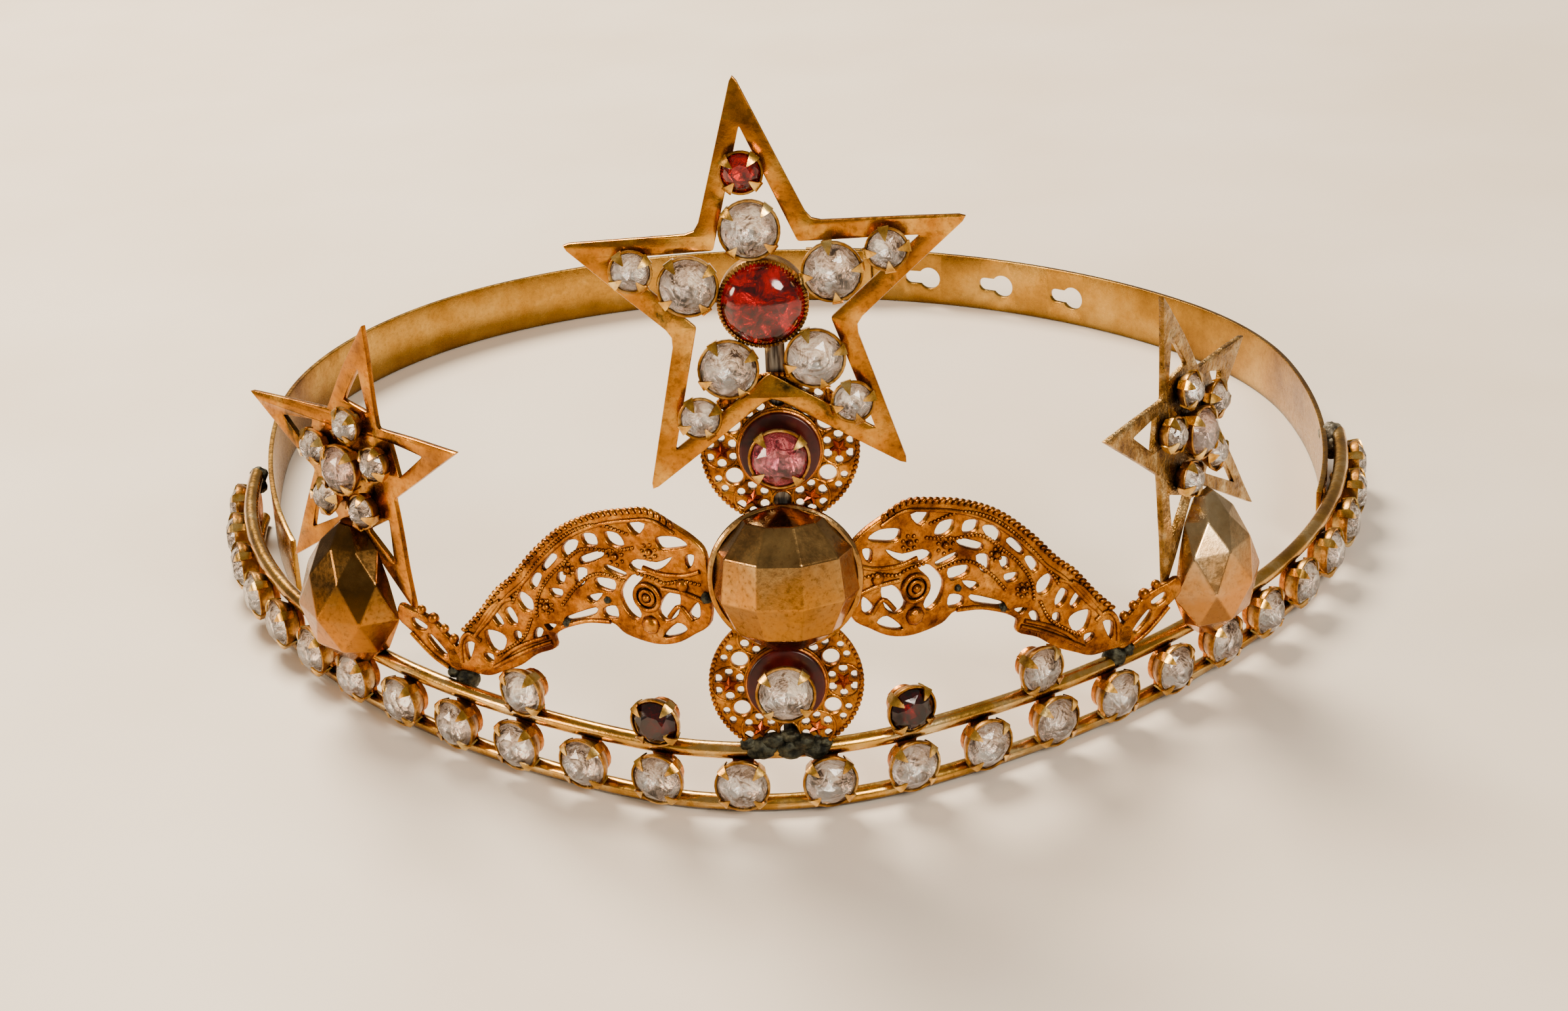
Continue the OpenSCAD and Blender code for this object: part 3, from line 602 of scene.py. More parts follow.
TAB_T, TAB_EDGE = 0.9, 0.16
posts = bmesh.new()
tab = made(plate([flare(2.3, 1.25, UPPER_Z - STONE_Z, STONE_Z - LOWER_Z)], TAB_T, TAB_EDGE))
pad = made(turned([(0, 0), (2.3, 0), (2.5, 0.2), (2.5, 0.8), (2.3, 1), (0, 1)], 20))
for place in stone_places:
    stamp(posts, tab, place @ on(0, 0, -TAB_T / 2))
    stamp(posts, pad, place @ on(0, 0, -0.5))
finished("gallery_tabs", posts, [tab_brass], "copper_brass", ["gallery_posts"])

cups, stones = bmesh.new(), bmesh.new()
cup, stone = cup_part(GALLERY_CUP_R), stone_part(GALLERY_CUP_R)
for i, place in enumerate(stone_places):
    stamp(cups, cup, place @ on(0, 0, 0.1, 7 * noise.noise(Vector((i, 0, 0.5)))))
    stamp(stones, stone, place @ on(0, 0, 0.1, 37 * i))
finished("gallery_claw_cups", cups, *CLAW_CUP, ["gallery_cups"])
finished("gallery_cut_stones", stones, *CLEAR_STONE, ["gallery_stones"], angle=CRISP)

# --- Stones above the rail ----------------------------------------------------------------
RAIL_TOP_R, RAIL_TOP_V = 3.3, 4.3
garnet_places = [stand(s, RAIL_TOP_V) for s in (-13.9, 17.1)]
clear_places = [stand(s, RAIL_TOP_V) for s in (-33.3, 35.9)]
top_cups, garnets, clears = bmesh.new(), bmesh.new(), bmesh.new()
cup, stone = cup_part(RAIL_TOP_R), stone_part(RAIL_TOP_R)
foot_tab = made(plate([flare(1.9, 1.2, 1.2, RAIL_TOP_V + 0.4)], TAB_T, TAB_EDGE))
for place in garnet_places + clear_places:
    stamp(top_cups, cup, place @ on(0, 0, 0, 6))
    stamp(top_cups, foot_tab, place @ on(0, 0, -TAB_T), 2)
    stamp(top_cups, pad, place @ on(0, 0, -TAB_T) @ Matrix.Scale(0.85, 4), 2)
for places, bm in ((garnet_places, garnets), (clear_places, clears)):
    for place in places:
        stamp(bm, stone, place @ on(0, 0, 0, 11))
finished("rail_top_claw_cups", top_cups, [cup_brass, claw_brass, tab_brass], "cup_brass",
         ["rail_top_cups"])
finished("rail_top_cut_clears", clears, *CLEAR_STONE, ["rail_top_clear_stones"], angle=CRISP)
finished("rail_top_cut_garnets", garnets, [garnet_glass, dark_foil], "garnet_glass",
         ["rail_top_garnets"], angle=CRISP)


# --- Discs, red discs and their stones ----------------------------------------------------
lower_disc, upper_disc = CENTRE @ on(0.8, 9.4), CENTRE @ on(1.4, 39.8)
BOSS_RING, EYE_RING, PIN_RING = 7.05, 6.5, 8.35
EDGE_GRAINS = 88
grain = bead_part(0.36)


def five_star(r):
    """A small raised star: a ten-sided disc with every second corner drawn in, then poked up."""
    bm = bmesh.new()
    ring = bmesh.ops.create_circle(bm, cap_ends=True, segments=10, radius=r)["verts"]
    for vert in ring[::2]:
        vert.co *= 0.45
    bmesh.ops.extrude_face_region(bm, geom=bm.faces[:])
    top = [v for v in bm.verts if v not in ring]
    bmesh.ops.translate(bm, vec=(0, 0, 0.3), verts=top)
    lid = next(f for f in bm.faces if all(v in top for v in f.verts))
    tip = bmesh.ops.poke(bm, faces=[lid])["verts"]
    bmesh.ops.translate(bm, vec=(0, 0, 0.45), verts=tip)
    return bm


def openwork_disc(name, node, place):
    """A pierced disc: six star bosses ringed by small holes, larger eyes between them with two
    pinholes each, and a beaded edge."""
    holes = []
    sixths = range(0, 360, 60)
    for around in sixths:
        x, y = polar(BOSS_RING, around)
        for m in range(6):
            dx, dy = polar(1.62, 60 * m + around + 30)
            holes.append(circle(0.57 if m % 2 else 0.5, 10, x + dx, y + dy))
        holes.append(circle(1.05, 14, *polar(EYE_RING, around + 30)))
        for aside in (25, 35):
            holes.append(circle(0.45, 10, *polar(PIN_RING, around + aside)))
    bm = plate([circle(9.25, 72), *holes], SHEET, 0.08)
    for around in sixths:
        boss, eye = polar(BOSS_RING, around), polar(EYE_RING, around + 30)
        stamp(bm, made(five_star(1.2)), on(*boss, SHEET - 0.05, around), 1)
        lay_wire(bm, circle(2.25, 24, *boss), SHEET, 0.17, True)
        lay_wire(bm, circle(1.25, 16, *eye), SHEET, 0.17, True)
    for k in range(EDGE_GRAINS):
        stamp(bm, grain, on(*polar(9.3, 360 * k / EDGE_GRAINS), SHEET - 0.1), 0)
    lay_wire(bm, circle(9.15, 72), SHEET / 2, 0.42, True)
    lay_wire(bm, circle(5.05, 60), SHEET, 0.3, True)
    bmesh.ops.transform(bm, matrix=place, verts=bm.verts)
    finished(name, bm, [stamped_brass, boss_copper], "stamped_brass", [node])


def red_disc(name, node, place):
    """An enamelled disc with a rounded edge, in a thin wire rim."""
    rim, curve = 4.85, 0.3
    edge = [(rim - curve + curve * cos(radians(a)), 0.9 + curve * sin(radians(a)))
            for a in range(0, 91, 30)]
    bm = turned([(0, 0), (rim, 0), *edge, (3.4, 1.28), (0, 1.3)], 48)
    lay_wire(bm, circle(rim, 60), 0.35, 0.26, True, finish=1)
    bmesh.ops.transform(bm, matrix=place, verts=bm.verts)
    finished(name, bm, [dark_red_enamel, tab_brass], "red_glass", [node])


openwork_disc("lower_openwork_disc", "lower_disc", lower_disc)
openwork_disc("upper_openwork_disc", "upper_disc", upper_disc)
red_disc("lower_enamel_disc", "lower_red_disc", lower_disc @ on(0, 0, SHEET))
red_disc("upper_enamel_disc", "upper_red_disc", upper_disc @ on(0, 0, SHEET))
DISC_CUP_R = 3.7
for name, place, turn in (("lower", lower_disc, 3), ("upper", upper_disc, -6)):
    bm = bmesh.new()
    stamp(bm, cup_part(DISC_CUP_R), place @ on(0, 0, 2, turn))
    finished(name + "_disc_claw_cup", bm, *CLAW_CUP, [name + "_disc_cup"])
for name, place, glass, foil, slot in (
        ("lower", lower_disc, clear_glass, silver_foil, "clear_glass"),
        ("upper", upper_disc, amethyst_glass, rose_foil, "amethyst_glass")):
    bm = bmesh.new()
    stamp(bm, stone_part(DISC_CUP_R), place @ on(0, 0, 2, 12))
    finished(name + "_disc_cut_stone", bm, [glass, foil], slot, [name + "_disc_stone"], angle=CRISP)

# --- Bead, stem and solder ----------------------------------------------------------------
BEAD_R = 9.4
# (degrees up the bead, facets around, angle of the first)
rows = [(-72, 10, 21), (-42, 10, 3), (-10, 10, 3), (24, 10, 3), (56, 10, 3), (82, 5, 21)]
bead = hull_half([(BEAD_R * sin(radians(a)), BEAD_R * cos(radians(a)), n, first)
                  for a, n, first in rows], 0.85)
lay_wire(bead, circle(BEAD_R - 0.35, 64), 0.5, 0.5, True, sides=3)
bmesh.ops.transform(bead, matrix=CENTRE @ on(1.3, 23.5, SHEET), verts=bead.verts)
finished("centre_faceted_bead", bead, [bead_brass], "bead_brass", ["centre_bead"], angle=CRISP)

stem = bmesh.new()
bmesh.ops.create_cube(stem, size=1.0)
bmesh.ops.scale(stem, vec=(2.4, 61.5, SHEET), verts=stem.verts)
bmesh.ops.bevel(stem, geom=stem.edges[:], offset=0.2, segments=2, profile=0.5, affect="EDGES",
                material=-1)
bmesh.ops.transform(stem, matrix=CENTRE @ on(1.3, 29.75, -SHEET / 2), verts=stem.verts)
finished("centre_stem_strip", stem, [steel_strip], "stem_steel", ["centre_stem"])

foot = bmesh.new()
# (x, y, z, size) of each drop
for i, (x, y, z, r) in enumerate(((0.8, 0.6, -0.2, 1.9), (-2.6, 0.5, 0.1, 1.7), (4, 0.4, 0.1, 1.6),
                                  (-1, 1.8, 0.9, 1.1), (2.6, 1.5, 0.9, 1.15), (5.2, 1.2, 0.6, 0.8),
                                  (-4.2, 1.2, 0.5, 0.9), (1, 2.4, 1.1, 0.9))):
    lump(foot, CENTRE @ Vector((x, y, z)), r, i + 1, stretch=1.35)
finished("foot_solder_run", foot, [black_solder], "dark_solder", ["foot_solder"], angle=RUN)

# --- Big star -----------------------------------------------------------------------------
STAR = CENTRE @ on(0.3, 58.5)
# Arms and the notches between them, each (length, angle)
BIG_TIPS = ((27.4, 95), (24.9, 162), (27.7, 238), (26.9, 308), (26.3, 381))
BIG_NOTCHES = ((11.2, 132), (11.5, 201), (11.9, 272), (11.1, 343), (11.1, 418))


def star_outline(tips, notches, tip_in=0.0, notch_in=0.0):
    """A star's corners, with the tips and notches brought in by these lengths."""
    line = []
    for (tip, a), (notch, b) in zip(tips, notches):
        line += [polar(tip - tip_in, a), polar(notch - notch_in, b)]
    return [Vector(p) for p in line]


def softened(corners, cut):
    """Takes the very points off a closed outline, and adds a point every 1.5 mm."""
    line = []
    n = len(corners)
    for i, p in enumerate(corners):
        before, after = corners[i - 1] - p, corners[(i + 1) % n] - p
        a, b = p + before.normalized() * cut, p + after.normalized() * cut
        line += [a, (a + 2 * p + b) / 4, b]
        run = (corners[(i + 1) % n] - after.normalized() * cut) - b
        steps = max(1, ceil(run.length / 1.5))
        line += [b + run * k / steps for k in range(1, steps)]
    return line


star = plate([softened(star_outline(BIG_TIPS, BIG_NOTCHES), 1.3),
              softened(star_outline(BIG_TIPS, BIG_NOTCHES, 6.4, 2.9), 0.3)], SHEET, 0.16)
for vert in star.verts:
    vert.co.z += 0.25 * noise.noise(vert.co * 0.08)
bmesh.ops.transform(star, matrix=STAR @ on(0, 0, SHEET), verts=star.verts)
finished("big_star_sheet_frame", star, [star_brass], "star_brass", ["big_star_frame"])

BEZEL_R, BEZEL_TEETH = 5.35, 64
bezel = turned([(0, 0), (BEZEL_R - 0.3, 0), (BEZEL_R, 0.3), (BEZEL_R, 2.9), (BEZEL_R - 0.12, 3.1),
                (BEZEL_R - 0.36, 3.1), (BEZEL_R - 0.4, 1), (0, 1)], 56)
tooth = bmesh.new()
bmesh.ops.create_cone(tooth, cap_ends=True, segments=4, radius1=0.3, radius2=0.06, depth=0.75)
bmesh.ops.rotate(tooth, cent=(0, 0, 0), matrix=Matrix.Rotation(radians(45), 3, "Z"),
                 verts=tooth.verts)
bmesh.ops.rotate(tooth, cent=(0, 0, 0), matrix=Matrix.Rotation(radians(-24), 3, "Y"),
                 verts=tooth.verts)
tooth = made(tooth)
for k in range(BEZEL_TEETH):
    angle = 360 * k / BEZEL_TEETH
    stamp(bezel, tooth, on(*polar(BEZEL_R - 0.28, angle), 3.25, angle), 0)
bmesh.ops.transform(bezel, matrix=STAR, verts=bezel.verts)
finished("big_star_toothed_bezel", bezel, [cup_brass], "cup_brass", ["big_star_bezel"])

DOME_R, DOME_Z = BEZEL_R - 0.42, 2.7
dome = [(DOME_R * cos(radians(a)), DOME_Z + DOME_Z * sin(radians(a))) for a in range(0, 91, 9)]
cabochon = turned([(0, 1.05), (4.2, 1.05), (DOME_R, 2.2), *dome], 56)
for face in cabochon.faces:
    face.material_index = 1 if face.calc_center_median().z < 2.3 else 0
bmesh.ops.transform(cabochon, matrix=STAR, verts=cabochon.verts)
finished("big_star_domed_cabochon", cabochon, [ruby_glass, dark_foil], "red_glass",
         ["big_star_cabochon"], angle=STAMPED)

LARGE_R, SMALL_R = 3.65, 2.6
for name, cup_r, ring_r, z, shift in (("large", LARGE_R, 9.0, 0.6, 2.5),
                                      ("small", SMALL_R, 15.9, 1.6, 1.5)):
    cups, stones, red = bmesh.new(), bmesh.new(), bmesh.new()
    cup, stone = cup_part(cup_r), stone_part(cup_r)
    for i, (_, angle) in enumerate(BIG_TIPS):
        place = STAR @ on(*polar(ring_r, angle + shift), z, angle)
        stamp(cups, cup, place @ on(0, 0, 0, 8 * i))
        stamp(red if name == "small" and i == 0 else stones, stone, place @ on(0, 0, 0, 17 * i))
    finished("big_star_%s_claw_cups" % name, cups, *CLAW_CUP, ["big_star_%s_cups" % name])
    finished("big_star_%s_cut_stones" % name, stones, *CLEAR_STONE,
             ["big_star_%s_stones" % name], angle=CRISP)
    if name == "small":
        finished("big_star_cut_garnet", red, [hyacinth_glass, copper_foil], "garnet_glass",
                 ["big_star_garnet"], angle=CRISP)
    else:
        red.free()

# --- Wings: one half drawn, the other its mirror image ------------------------------------
# Outlines, holes and veins are (x, y) in millimetres on the right wing's plane
WING_T = 1.0
wing_edge = ((9.2, 22), (9.6, 26.5), (11.4, 28.3), (14.2, 29.6), (17.4, 30.8), (20.8, 30.2),
             (25.4, 28.8), (30.2, 26.2), (34.8, 22), (38.4, 17.8), (41.2, 15.2), (44.2, 11.4),
             (46.8, 8.6), (48.2, 6), (50, 5), (49.6, 2.6), (46.6, 2.4), (43.8, 2.4), (41.6, 3.4),
             (38.4, 5.1), (35.8, 7.2), (32.8, 8.8), (32.6, 10.8), (28.4, 13.2), (24, 14.2),
             (21.8, 13), (17.8, 12.5), (14.6, 13.2), (11.8, 15), (9.4, 17.2))
wing_holes = (
    ((12, 27.2), (13.6, 28), (16.4, 27.4), (16, 26), (14.2, 26.3)),
    ((11.2, 26), (12.4, 25.6), (12.2, 24.1), (11.5, 24.7)),
    ((14.4, 25.1), (16.6, 24), (19.4, 23.9), (20.7, 22.8), (19.4, 22.2), (16.4, 23)),
    ((18, 29), (20.6, 28.7), (19.3, 27.2)),
    ((21.2, 25.6), (22, 26.9), (23.9, 26.8), (23.7, 25.5), (22.5, 25)),
    ((25.5, 26.2), (27.4, 25.8), (27, 24.4), (25.2, 24.8)),
    ((28, 24.8), (29.4, 24.6), (30.6, 23.2), (30.1, 22.1), (28.9, 23)),
    ((31.4, 21.9), (32.2, 22.2), (33.8, 20.2), (33.4, 19.7)),
    ((34, 18.9), (35, 18.9), (36, 17.3), (35.2, 16.7)),
    ((35.8, 15.1), (37.3, 15.9), (38.1, 14.7), (37.2, 13.3), (35.9, 13.5)),
    ((24.6, 24.1), (27.8, 22.6), (27.6, 21.7), (24.7, 23.2)),
    ((21.2, 21.7), (24, 22.3), (24.2, 21.6), (22, 21.1)),
    ((27, 21.1), (28.7, 20.7), (28.8, 18.6), (27.7, 18.9)),
    ((30.3, 19.9), (31.4, 19.7), (31.7, 18.4), (30.8, 18.4)),
    ((23, 20.3), (25.7, 20.1), (25.7, 18.9), (23.4, 18.7)),
    ((31, 17.4), (32.9, 17.2), (32.7, 16.3), (31.4, 16.3)),
    ((25, 18.1), (27.3, 17.2), (26.4, 16.5)),
    ((26.1, 15.9), (30.4, 13.8), (30.4, 13.2), (26.7, 14.7)),
    ((23.1, 16.7), (24.9, 16), (24.8, 14.9), (22.9, 15.1)),
    ((18.8, 21.6), (20.4, 21.5), (22.3, 18.8), (21.6, 16.4), (20.1, 15.4), (19.4, 16.4),
     (20.2, 18), (20.1, 19.9)),
    ((13.6, 20.5), (15.6, 19.7), (16.9, 17.2), (15.8, 16.1), (14, 17.4)),
    ((11, 19.6), (12.5, 17.7), (11.7, 17.1), (10.8, 17.9)),
    ((12.8, 15.6), (14.2, 16.1), (16.4, 13.8), (14.3, 14.4)),
    ((32, 12.5), (34.5, 12.1), (33.4, 10.9)),
    ((34.5, 11), (35.4, 11.1), (36, 9.8), (35.6, 9.1)),
    ((38, 9.9), (38.9, 9.9), (39, 8.7), (38.2, 8.5)),
    ((38.4, 12), (39.3, 13.3), (40.3, 12.4), (39.5, 11), (38.6, 10.9)),
    ((40.6, 10.8), (41.5, 12.1), (42.4, 11.5), (41.4, 10.1)),
    ((40.4, 8.5), (41.7, 9.3), (43.7, 8.9), (43, 6.5), (41.4, 6.4)),
    ((45.6, 6.8), (47.1, 6.3), (46.8, 4)),
    ((42.8, 5.7), (44.1, 5.6), (44, 4.9), (42.9, 4.5)),
)
rope_lines = (((20, 25.4), (23.3, 24.4), (27.6, 23.8), (30.6, 21.2), (33.2, 18.4), (34.9, 15.4),
               (35.2, 13)),
              ((20.6, 27.2), (24.6, 27.7), (28.2, 26.4), (31.4, 24), (34.6, 20.4), (37, 17.2),
               (38.8, 14.2)),
              ((21.6, 20.6), (24.6, 21), (27, 20), (29.4, 17.6), (31, 15.4)),
              ((10.6, 22.2), (13, 22.2), (15.6, 21.4), (17.2, 21.8), (19.4, 22)),
              ((36.2, 12.2), (37.4, 9.6), (39.6, 7.6), (42, 6)))
veins = (((24, 14.4), (27.6, 13.8), (31.4, 12.2)),
         ((33.2, 9.6), (36, 8.2), (39, 6.4), (42.6, 4)),
         ((33.8, 10.2), (36.8, 8.8), (39.4, 7.2), (41.4, 5.4)),
         ((9.8, 20), (12.6, 20.6), (16, 20.6)),
         ((10.4, 24), (12.8, 23), (16, 22.6), (18.6, 23)),
         ((12, 17), (13.6, 18.6), (15.2, 16.8)),
         ((38.8, 14.8), (41.2, 13.4), (43.4, 10.6), (45.4, 7.8)),
         ((40.8, 14), (42.4, 12.6), (44.6, 9.6)),
         ((44.4, 7.4), (46.2, 8.2), (47.6, 6.6), (47.8, 3.6)))


def wing_sheet():
    """A stamped wing: pierced sheet, a toothed rim with a cord inside it, ropes of grains, veins,
    a scroll, rosettes and a few drops of solder (1)."""
    bm = plate([smooth(wing_edge, 4, True)] + [smooth(hole, 3, True) for hole in wing_holes],
               WING_T, 0.22)
    top_edge = wing_edge[3:13]
    tooth = bead_part(0.5, 0.8)
    for p, way in spaced(smooth(top_edge, 6), 0.95):
        lean = Matrix.Rotation(0.7 - Vector((1, 0)).angle_signed(way), 4, "Z")
        stamp(bm, tooth, Matrix.Translation((*p, WING_T - 0.1)) @ lean
              @ Matrix.Diagonal((1.35, 0.7, 1.2, 1)))
    lay_wire(bm, smooth([Vector(q) * 0.965 for q in top_edge], 4), WING_T, 0.3)
    grain = bead_part(0.3)
    for line in rope_lines:
        for p, _ in spaced(smooth(line, 5), 0.55):
            stamp(bm, grain, Matrix.Translation((*p, WING_T)))
    for line in veins:
        lay_wire(bm, smooth(line, 4), WING_T, 0.34)
    scroll = (18.2, 19)
    for r in (0.9, 1.75):
        lay_wire(bm, circle(r, 24, *scroll), WING_T + 0.15, 0.34, True)
    stamp(bm, bead_part(0.6), on(*scroll, WING_T + 0.2))
    stamp(bm, bead_part(1.35, 0.6), on(18, 15.2, WING_T))
    stamp(bm, bead_part(0.95, 0.6), on(13, 21.6, WING_T))
    for x, y, r in ((17.6, 25.3, 1.0), (22.6, 23.7, 1.1), (29.8, 20.6, 0.8), (33.6, 14.6, 0.9)):
        stamp(bm, bead_part(0.5), on(x, y, WING_T + 0.1))
        for k in range(7):
            dx, dy = polar(r, 51.4 * k)
            stamp(bm, grain, on(x + dx, y + dy, WING_T))
    for i, (x, y, r) in enumerate(((24.2, 17.4, 0.5), (30.6, 12.9, 0.6), (9.6, 20.6, 0.8))):
        lump(bm, (x, y, WING_T), r, i + 20, 1)
    return made(bm)


tail_edge = ((47.6, 3.2), (48.6, 5.6), (50.2, 7.2), (51.6, 8.6), (53.4, 9.4), (55.4, 9.8),
             (57.2, 10.2), (57.6, 8), (55.6, 6.4), (53.6, 4.6), (52, 3.4), (50, 2.4), (48.4, 2))
tail_holes = (((50.2, 4.4), (52.4, 6.6), (53, 6), (51, 4)),
              ((53, 7.8), (55, 8.6), (55.2, 7.6), (53.8, 7)))


def tail_sheet():
    """The wing's looped end, with lobes along its outer edge."""
    bm = plate([smooth(tail_edge, 3, True)] + [smooth(hole, 3, True) for hole in tail_holes],
               WING_T, 0.3)
    for x, y, r in ((49, 6.6, 0.75), (50.4, 7.8, 0.7), (52, 9, 0.85), (53.8, 9.9, 0.7),
                    (48, 4.6, 0.7)):
        stamp(bm, bead_part(r, 0.9), on(x, y, WING_T * 0.6))
    lay_wire(bm, smooth(tail_edge[8:12], 4), WING_T, 0.32)
    return made(bm)


wing_mesh, tail_mesh = wing_sheet(), tail_sheet()
for side, name in ((-1, "left"), (1, "right")):
    wing, tail = bmesh.new(), bmesh.new()
    stamp(wing, wing_mesh, wing_plane(side))
    stamp(tail, tail_mesh, wing_plane(side))
    finished(name + "_stamped_wing", wing, [stamped_brass, black_solder], "stamped_brass",
             [name + "_wing"], angle=STAMPED)
    finished(name + "_looped_tail", tail, [stamped_brass], "stamped_brass", [name + "_wing_tail"],
             angle=STAMPED)

# --- Side stars and pears -----------------------------------------------------------------
LEFT_TIPS = ((21.2, 82), (21.2, 164), (21.2, 231), (21.2, 301), (21.2, 378))
RIGHT_TIPS = ((21.2, 100), (21.2, 164), (21.2, 248), (24, 315), (18.2, 384))
SIDE_NOTCH_R = 8.3
SIDE_CENTRE_R, SIDE_CUP_R, SIDE_CUP_RING = 3.5, 2.45, 6.2
# Each arm's window: how far it ends short of the tip, where it starts and half its width there
WINDOW_TIP, WINDOW_LOW, WINDOW_HALF = 7, 8.6, 2.4


def notches_of(tips, r):
    """Notches half way between one tip and the next."""
    ends = [a for _, a in tips[1:]] + [tips[0][1] + 360]
    return [(r, (a + b) / 2) for (_, a), b in zip(tips, ends)]


for name, plane, at, tips, finish, curl in (
        ("left", LEFT, (0.9, 26.5), LEFT_TIPS, star_brass, 2.5),
        ("right", RIGHT, (-2.8, 28), RIGHT_TIPS, pitted_brass, -3.5)):
    centre = plane @ on(*at)
    notches = notches_of(tips, SIDE_NOTCH_R)
    windows = [softened([Vector(polar(1, a)) * x + Vector(polar(1, a + 90)) * y
                         for x, y in ((tip - WINDOW_TIP, 0), (WINDOW_LOW, WINDOW_HALF),
                                      (WINDOW_LOW, -WINDOW_HALF))], 0.3)
               for tip, a in tips]
    sheet = plate([softened(star_outline(tips, notches), 0.35), *windows], SHEET, 0.14)
    # The topmost point is curled over by hand, sideways and outwards
    for vert in sheet.verts:
        over = max(0.0, vert.co.y - 9) / 12
        vert.co.x += curl * over * over
        vert.co.z += 1.8 * over * over + 0.2 * noise.noise(vert.co * 0.12)
    bmesh.ops.transform(sheet, matrix=centre @ on(0, 0, -SHEET), verts=sheet.verts)
    finished(name + "_star_sheet_frame", sheet, [finish], "star_brass", [name + "_star_frame"])
    cups, stones, middle = bmesh.new(), bmesh.new(), bmesh.new()
    stamp(cups, cup_part(SIDE_CENTRE_R), centre)
    stamp(middle, stone_part(SIDE_CENTRE_R), centre)
    cup, stone = cup_part(SIDE_CUP_R), stone_part(SIDE_CUP_R, rise=0.5)
    for i, (_, angle) in enumerate(tips):
        place = centre @ on(*polar(SIDE_CUP_RING, angle), 0, angle)
        stamp(cups, cup, place)
        stamp(stones, stone, place @ on(0, 0, 0, 23 * i))
    finished(name + "_star_claw_cups", cups, *CLAW_CUP, [name + "_star_cups"])
    finished(name + "_star_cut_stones", stones, *CLEAR_STONE, [name + "_star_stones"], angle=CRISP)
    finished(name + "_star_smoky_stone", middle, [smoky_glass, silver_foil], "smoky_glass",
             [name + "_star_centre_stone"], angle=CRISP)

PEAR_W = 8.6
for name, plane, finish, slot in (("left", LEFT, olive_brass, "bead_brass"),
                                  ("right", RIGHT, pale_brass, "pale_brass")):
    rings = [(-1.3, 2.6, 6, 0), (1.6, 0.78 * PEAR_W, 8, 22.5), (6.4, PEAR_W, 8, 0),
             (11.6, 0.85 * PEAR_W, 8, 22.5), (15.6, 0.56 * PEAR_W, 8, 0),
             (18.3, 0.22 * PEAR_W, 6, 0)]
    pear = hull_half(rings, 0.82)
    bmesh.ops.transform(pear, matrix=plane, verts=pear.verts)
    finished(name + "_faceted_pear", pear, [finish], slot, [name + "_pear"], angle=CRISP)

solder = bmesh.new()
for side in (-1, 1):
    lump(solder, stand(side * 66.6 + 0.4, 0.6, off=-0.9).translation, 1.9, side + 31)
    lump(solder, wing_plane(side) @ Vector((48, 0.8, -0.2)), 1.7, side + 41)
    lump(solder, wing_plane(side) @ Vector((49.6, 1.6, 0.4)), 1.0, side + 44)
finished("side_solder_runs", solder, [black_solder], "dark_solder", ["side_solder"], angle=RUN)

# --- Joints between rails and strap -------------------------------------------------------
# Each drop is (x, y, z, size) from the rail's end
for name, side, drops, finish, slot in (
        ("left", -1, ((0.1, 0.3, -0.3, 1.5), (0.2, -1.3, -1.4, 1.45)), black_solder, "dark_solder"),
        ("right", 1, ((-1, 0.2, -0.4, 2), (-0.9, -1.5, -1.8, 1.8)), grey_solder, "grey_solder")):
    bm = bmesh.new()
    x, y, _ = rail_at(side * RAIL_END[side])
    for i, (dx, dy, dz, r) in enumerate(drops):
        lump(bm, (x + dx, y + dy, UPPER_Z + dz), r, i + 50 + side)
    finished(name + "_joint_solder_run", bm, [finish], slot, [name + "_joint_solder"], angle=RUN)


# --- Strap --------------------------------------------------------------------------------
RUBBED = 0.00014


def softened_copy(name, node, finish, slot, body):
    """The CAD shape with its flat faces merged and its edges rubbed round, in metres."""
    bm = bmesh.new()
    bm.from_mesh(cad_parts[node].data)
    bmesh.ops.remove_doubles(bm, verts=bm.verts, dist=1e-6)
    bmesh.ops.dissolve_limit(bm, angle_limit=radians(0.4), verts=bm.verts, edges=bm.edges)
    sharp = [e for e in bm.edges if e.is_manifold and e.calc_face_angle() > radians(50)]
    bmesh.ops.bevel(bm, geom=sharp, offset=RUBBED, segments=2, profile=0.5, affect="EDGES",
                    material=-1, clamp_overlap=True)
    bmesh.ops.transform(bm, matrix=TO_METRES.inverted(), verts=bm.verts)
    for face in bm.faces:
        face.material_index = 0
    finished(name, bm, [finish], slot, [node], body)


softened_copy("right_strap", "right_band", strap_brass, "strap_brass", "crown")
softened_copy("left_strap", "left_band", strap_brass, "strap_brass", "left_half")
softened_copy("closure_rivet", "closure_stud", cup_brass, "cup_brass", "left_half")

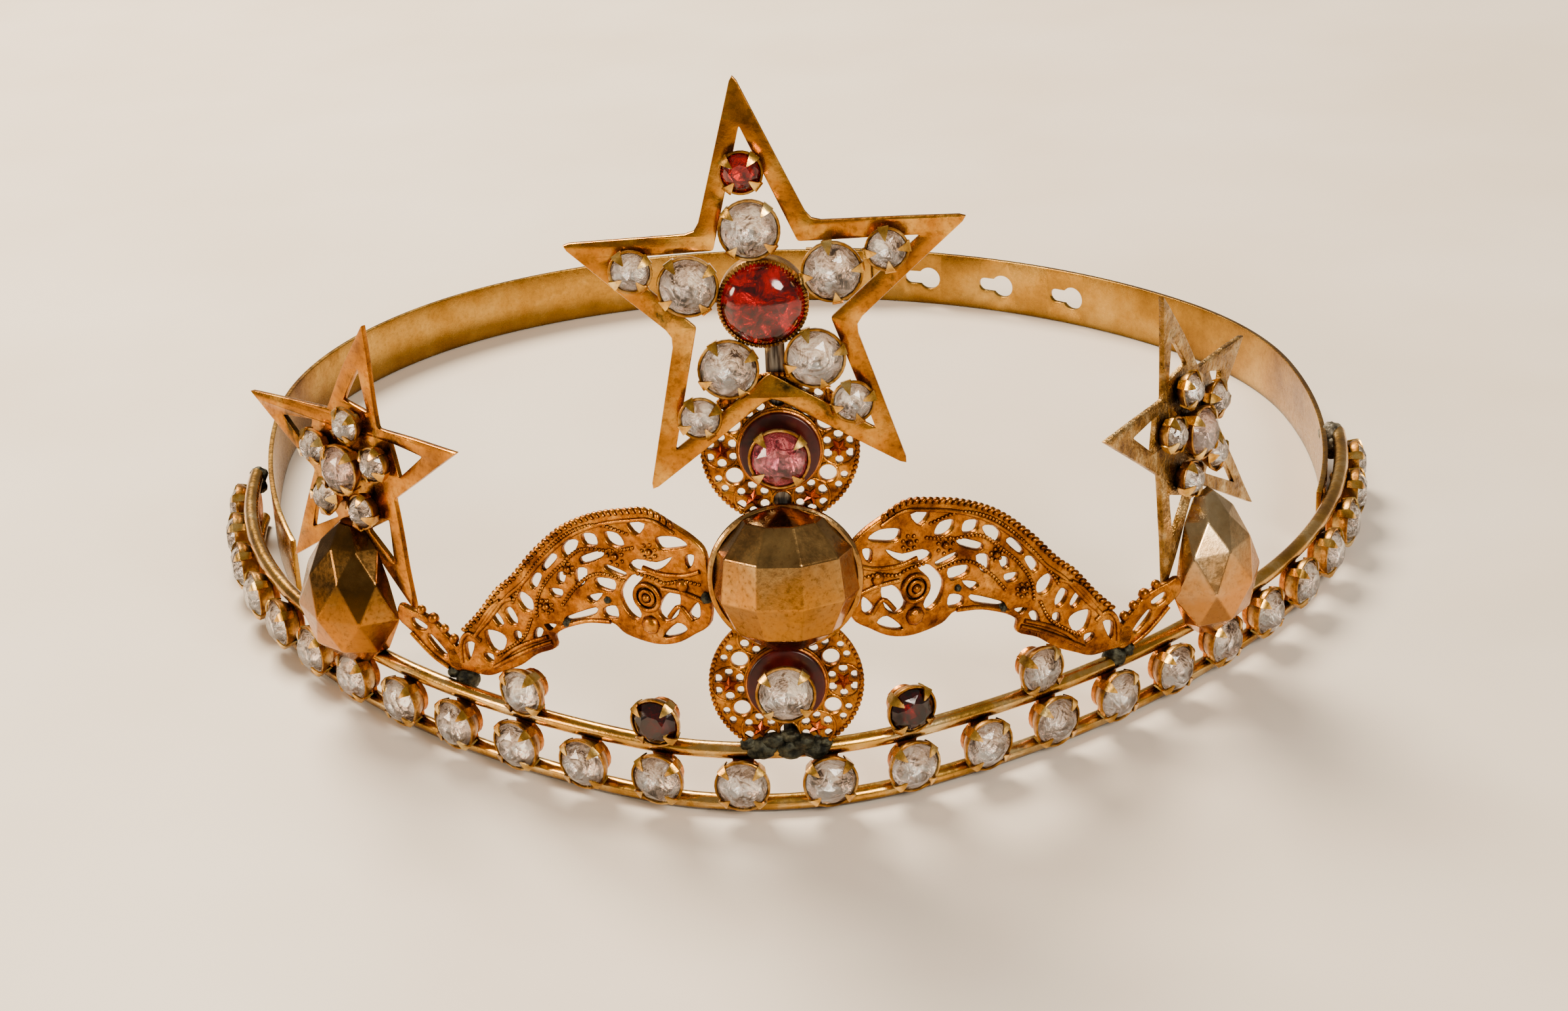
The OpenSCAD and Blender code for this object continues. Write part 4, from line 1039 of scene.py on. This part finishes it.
# --- Floor, light and camera --------------------------------------------------------------
floor_bm = bmesh.new()
bmesh.ops.create_grid(floor_bm, x_segments=1, y_segments=1, size=3.0)
floor_mesh = bpy.data.meshes.new("floor")
floor_bm.to_mesh(floor_mesh)
floor_bm.free()
floor_paint, tree, where = material("pale_floor")
grainy = add(tree, "ShaderNodeTexNoise", {"Vector": where, "Scale": per_mm(60), "Detail": 3.0})
pale = add(tree, "ShaderNodeValToRGB", {"Fac": grainy.outputs["Fac"]},
           stops=((0.3, "#e6d8c6"), (0.7, "#efe4d6")))
matt = add(tree, "ShaderNodeBsdfPrincipled", {"Base Color": pale.outputs["Color"],
                                              "Roughness": 0.5})
add(tree, "ShaderNodeOutputMaterial", {"Surface": matt.outputs["BSDF"]})
floor_mesh.materials.append(floor_paint)
floor = bpy.data.objects.new("floor", floor_mesh)
floor.location.z = -0.0001  # so that the rail rests on it cleanly
bpy.context.scene.collection.objects.link(floor)


def softbox(name, at, towards, size, watts, value):
    """A round soft light that faces a point."""
    lamp = bpy.data.lights.new(name, "AREA")
    lamp.shape, lamp.size, lamp.energy = "DISK", size, watts
    lamp.color = paint(value)[:3]
    holder = bpy.data.objects.new(name, lamp)
    holder.location = at
    holder.rotation_euler = (Vector(towards) - Vector(at)).to_track_quat("-Z", "Y").to_euler()
    bpy.context.scene.collection.objects.link(holder)


softbox("window", (-0.3, 0.5, 0.7), (0, 0, 0.03), 0.45, 20, "#ffefd6")
softbox("front_fill", (0.4, -0.7, 0.5), (0, 0, 0.03), 0.3, 8, "#fff4e6")
softbox("left_fill", (-0.8, -0.35, 0.3), (0, 0, 0.04), 0.25, 5, "#ffe6c8")
world = bpy.data.worlds.new("soft_room")
world.use_nodes = True
world.node_tree.nodes["Background"].inputs["Color"].default_value = paint("#e8dccb")
world.node_tree.nodes["Background"].inputs["Strength"].default_value = 0.38
bpy.context.scene.world = world

CAMERA_AT = (0.01392, -0.4019, 0.186)
YAW, PITCH, ROLL = radians(-2.26), radians(24.65), radians(-2.98)
ahead = Vector((sin(YAW) * cos(PITCH), cos(YAW) * cos(PITCH), -sin(PITCH)))
across = Vector((cos(YAW), -sin(YAW), 0))
upward = across.cross(ahead)
lens = bpy.data.cameras.new("camera")
lens.lens, lens.sensor_width, lens.clip_start = 66.12, 36, 0.01
camera = bpy.data.objects.new("camera", lens)
turned_axes = Matrix((cos(ROLL) * across + sin(ROLL) * upward,
                      cos(ROLL) * upward - sin(ROLL) * across, -ahead)).transposed()
camera.matrix_world = Matrix.Translation(CAMERA_AT) @ turned_axes.to_4x4()
bpy.context.scene.collection.objects.link(camera)
bpy.context.scene.camera = camera
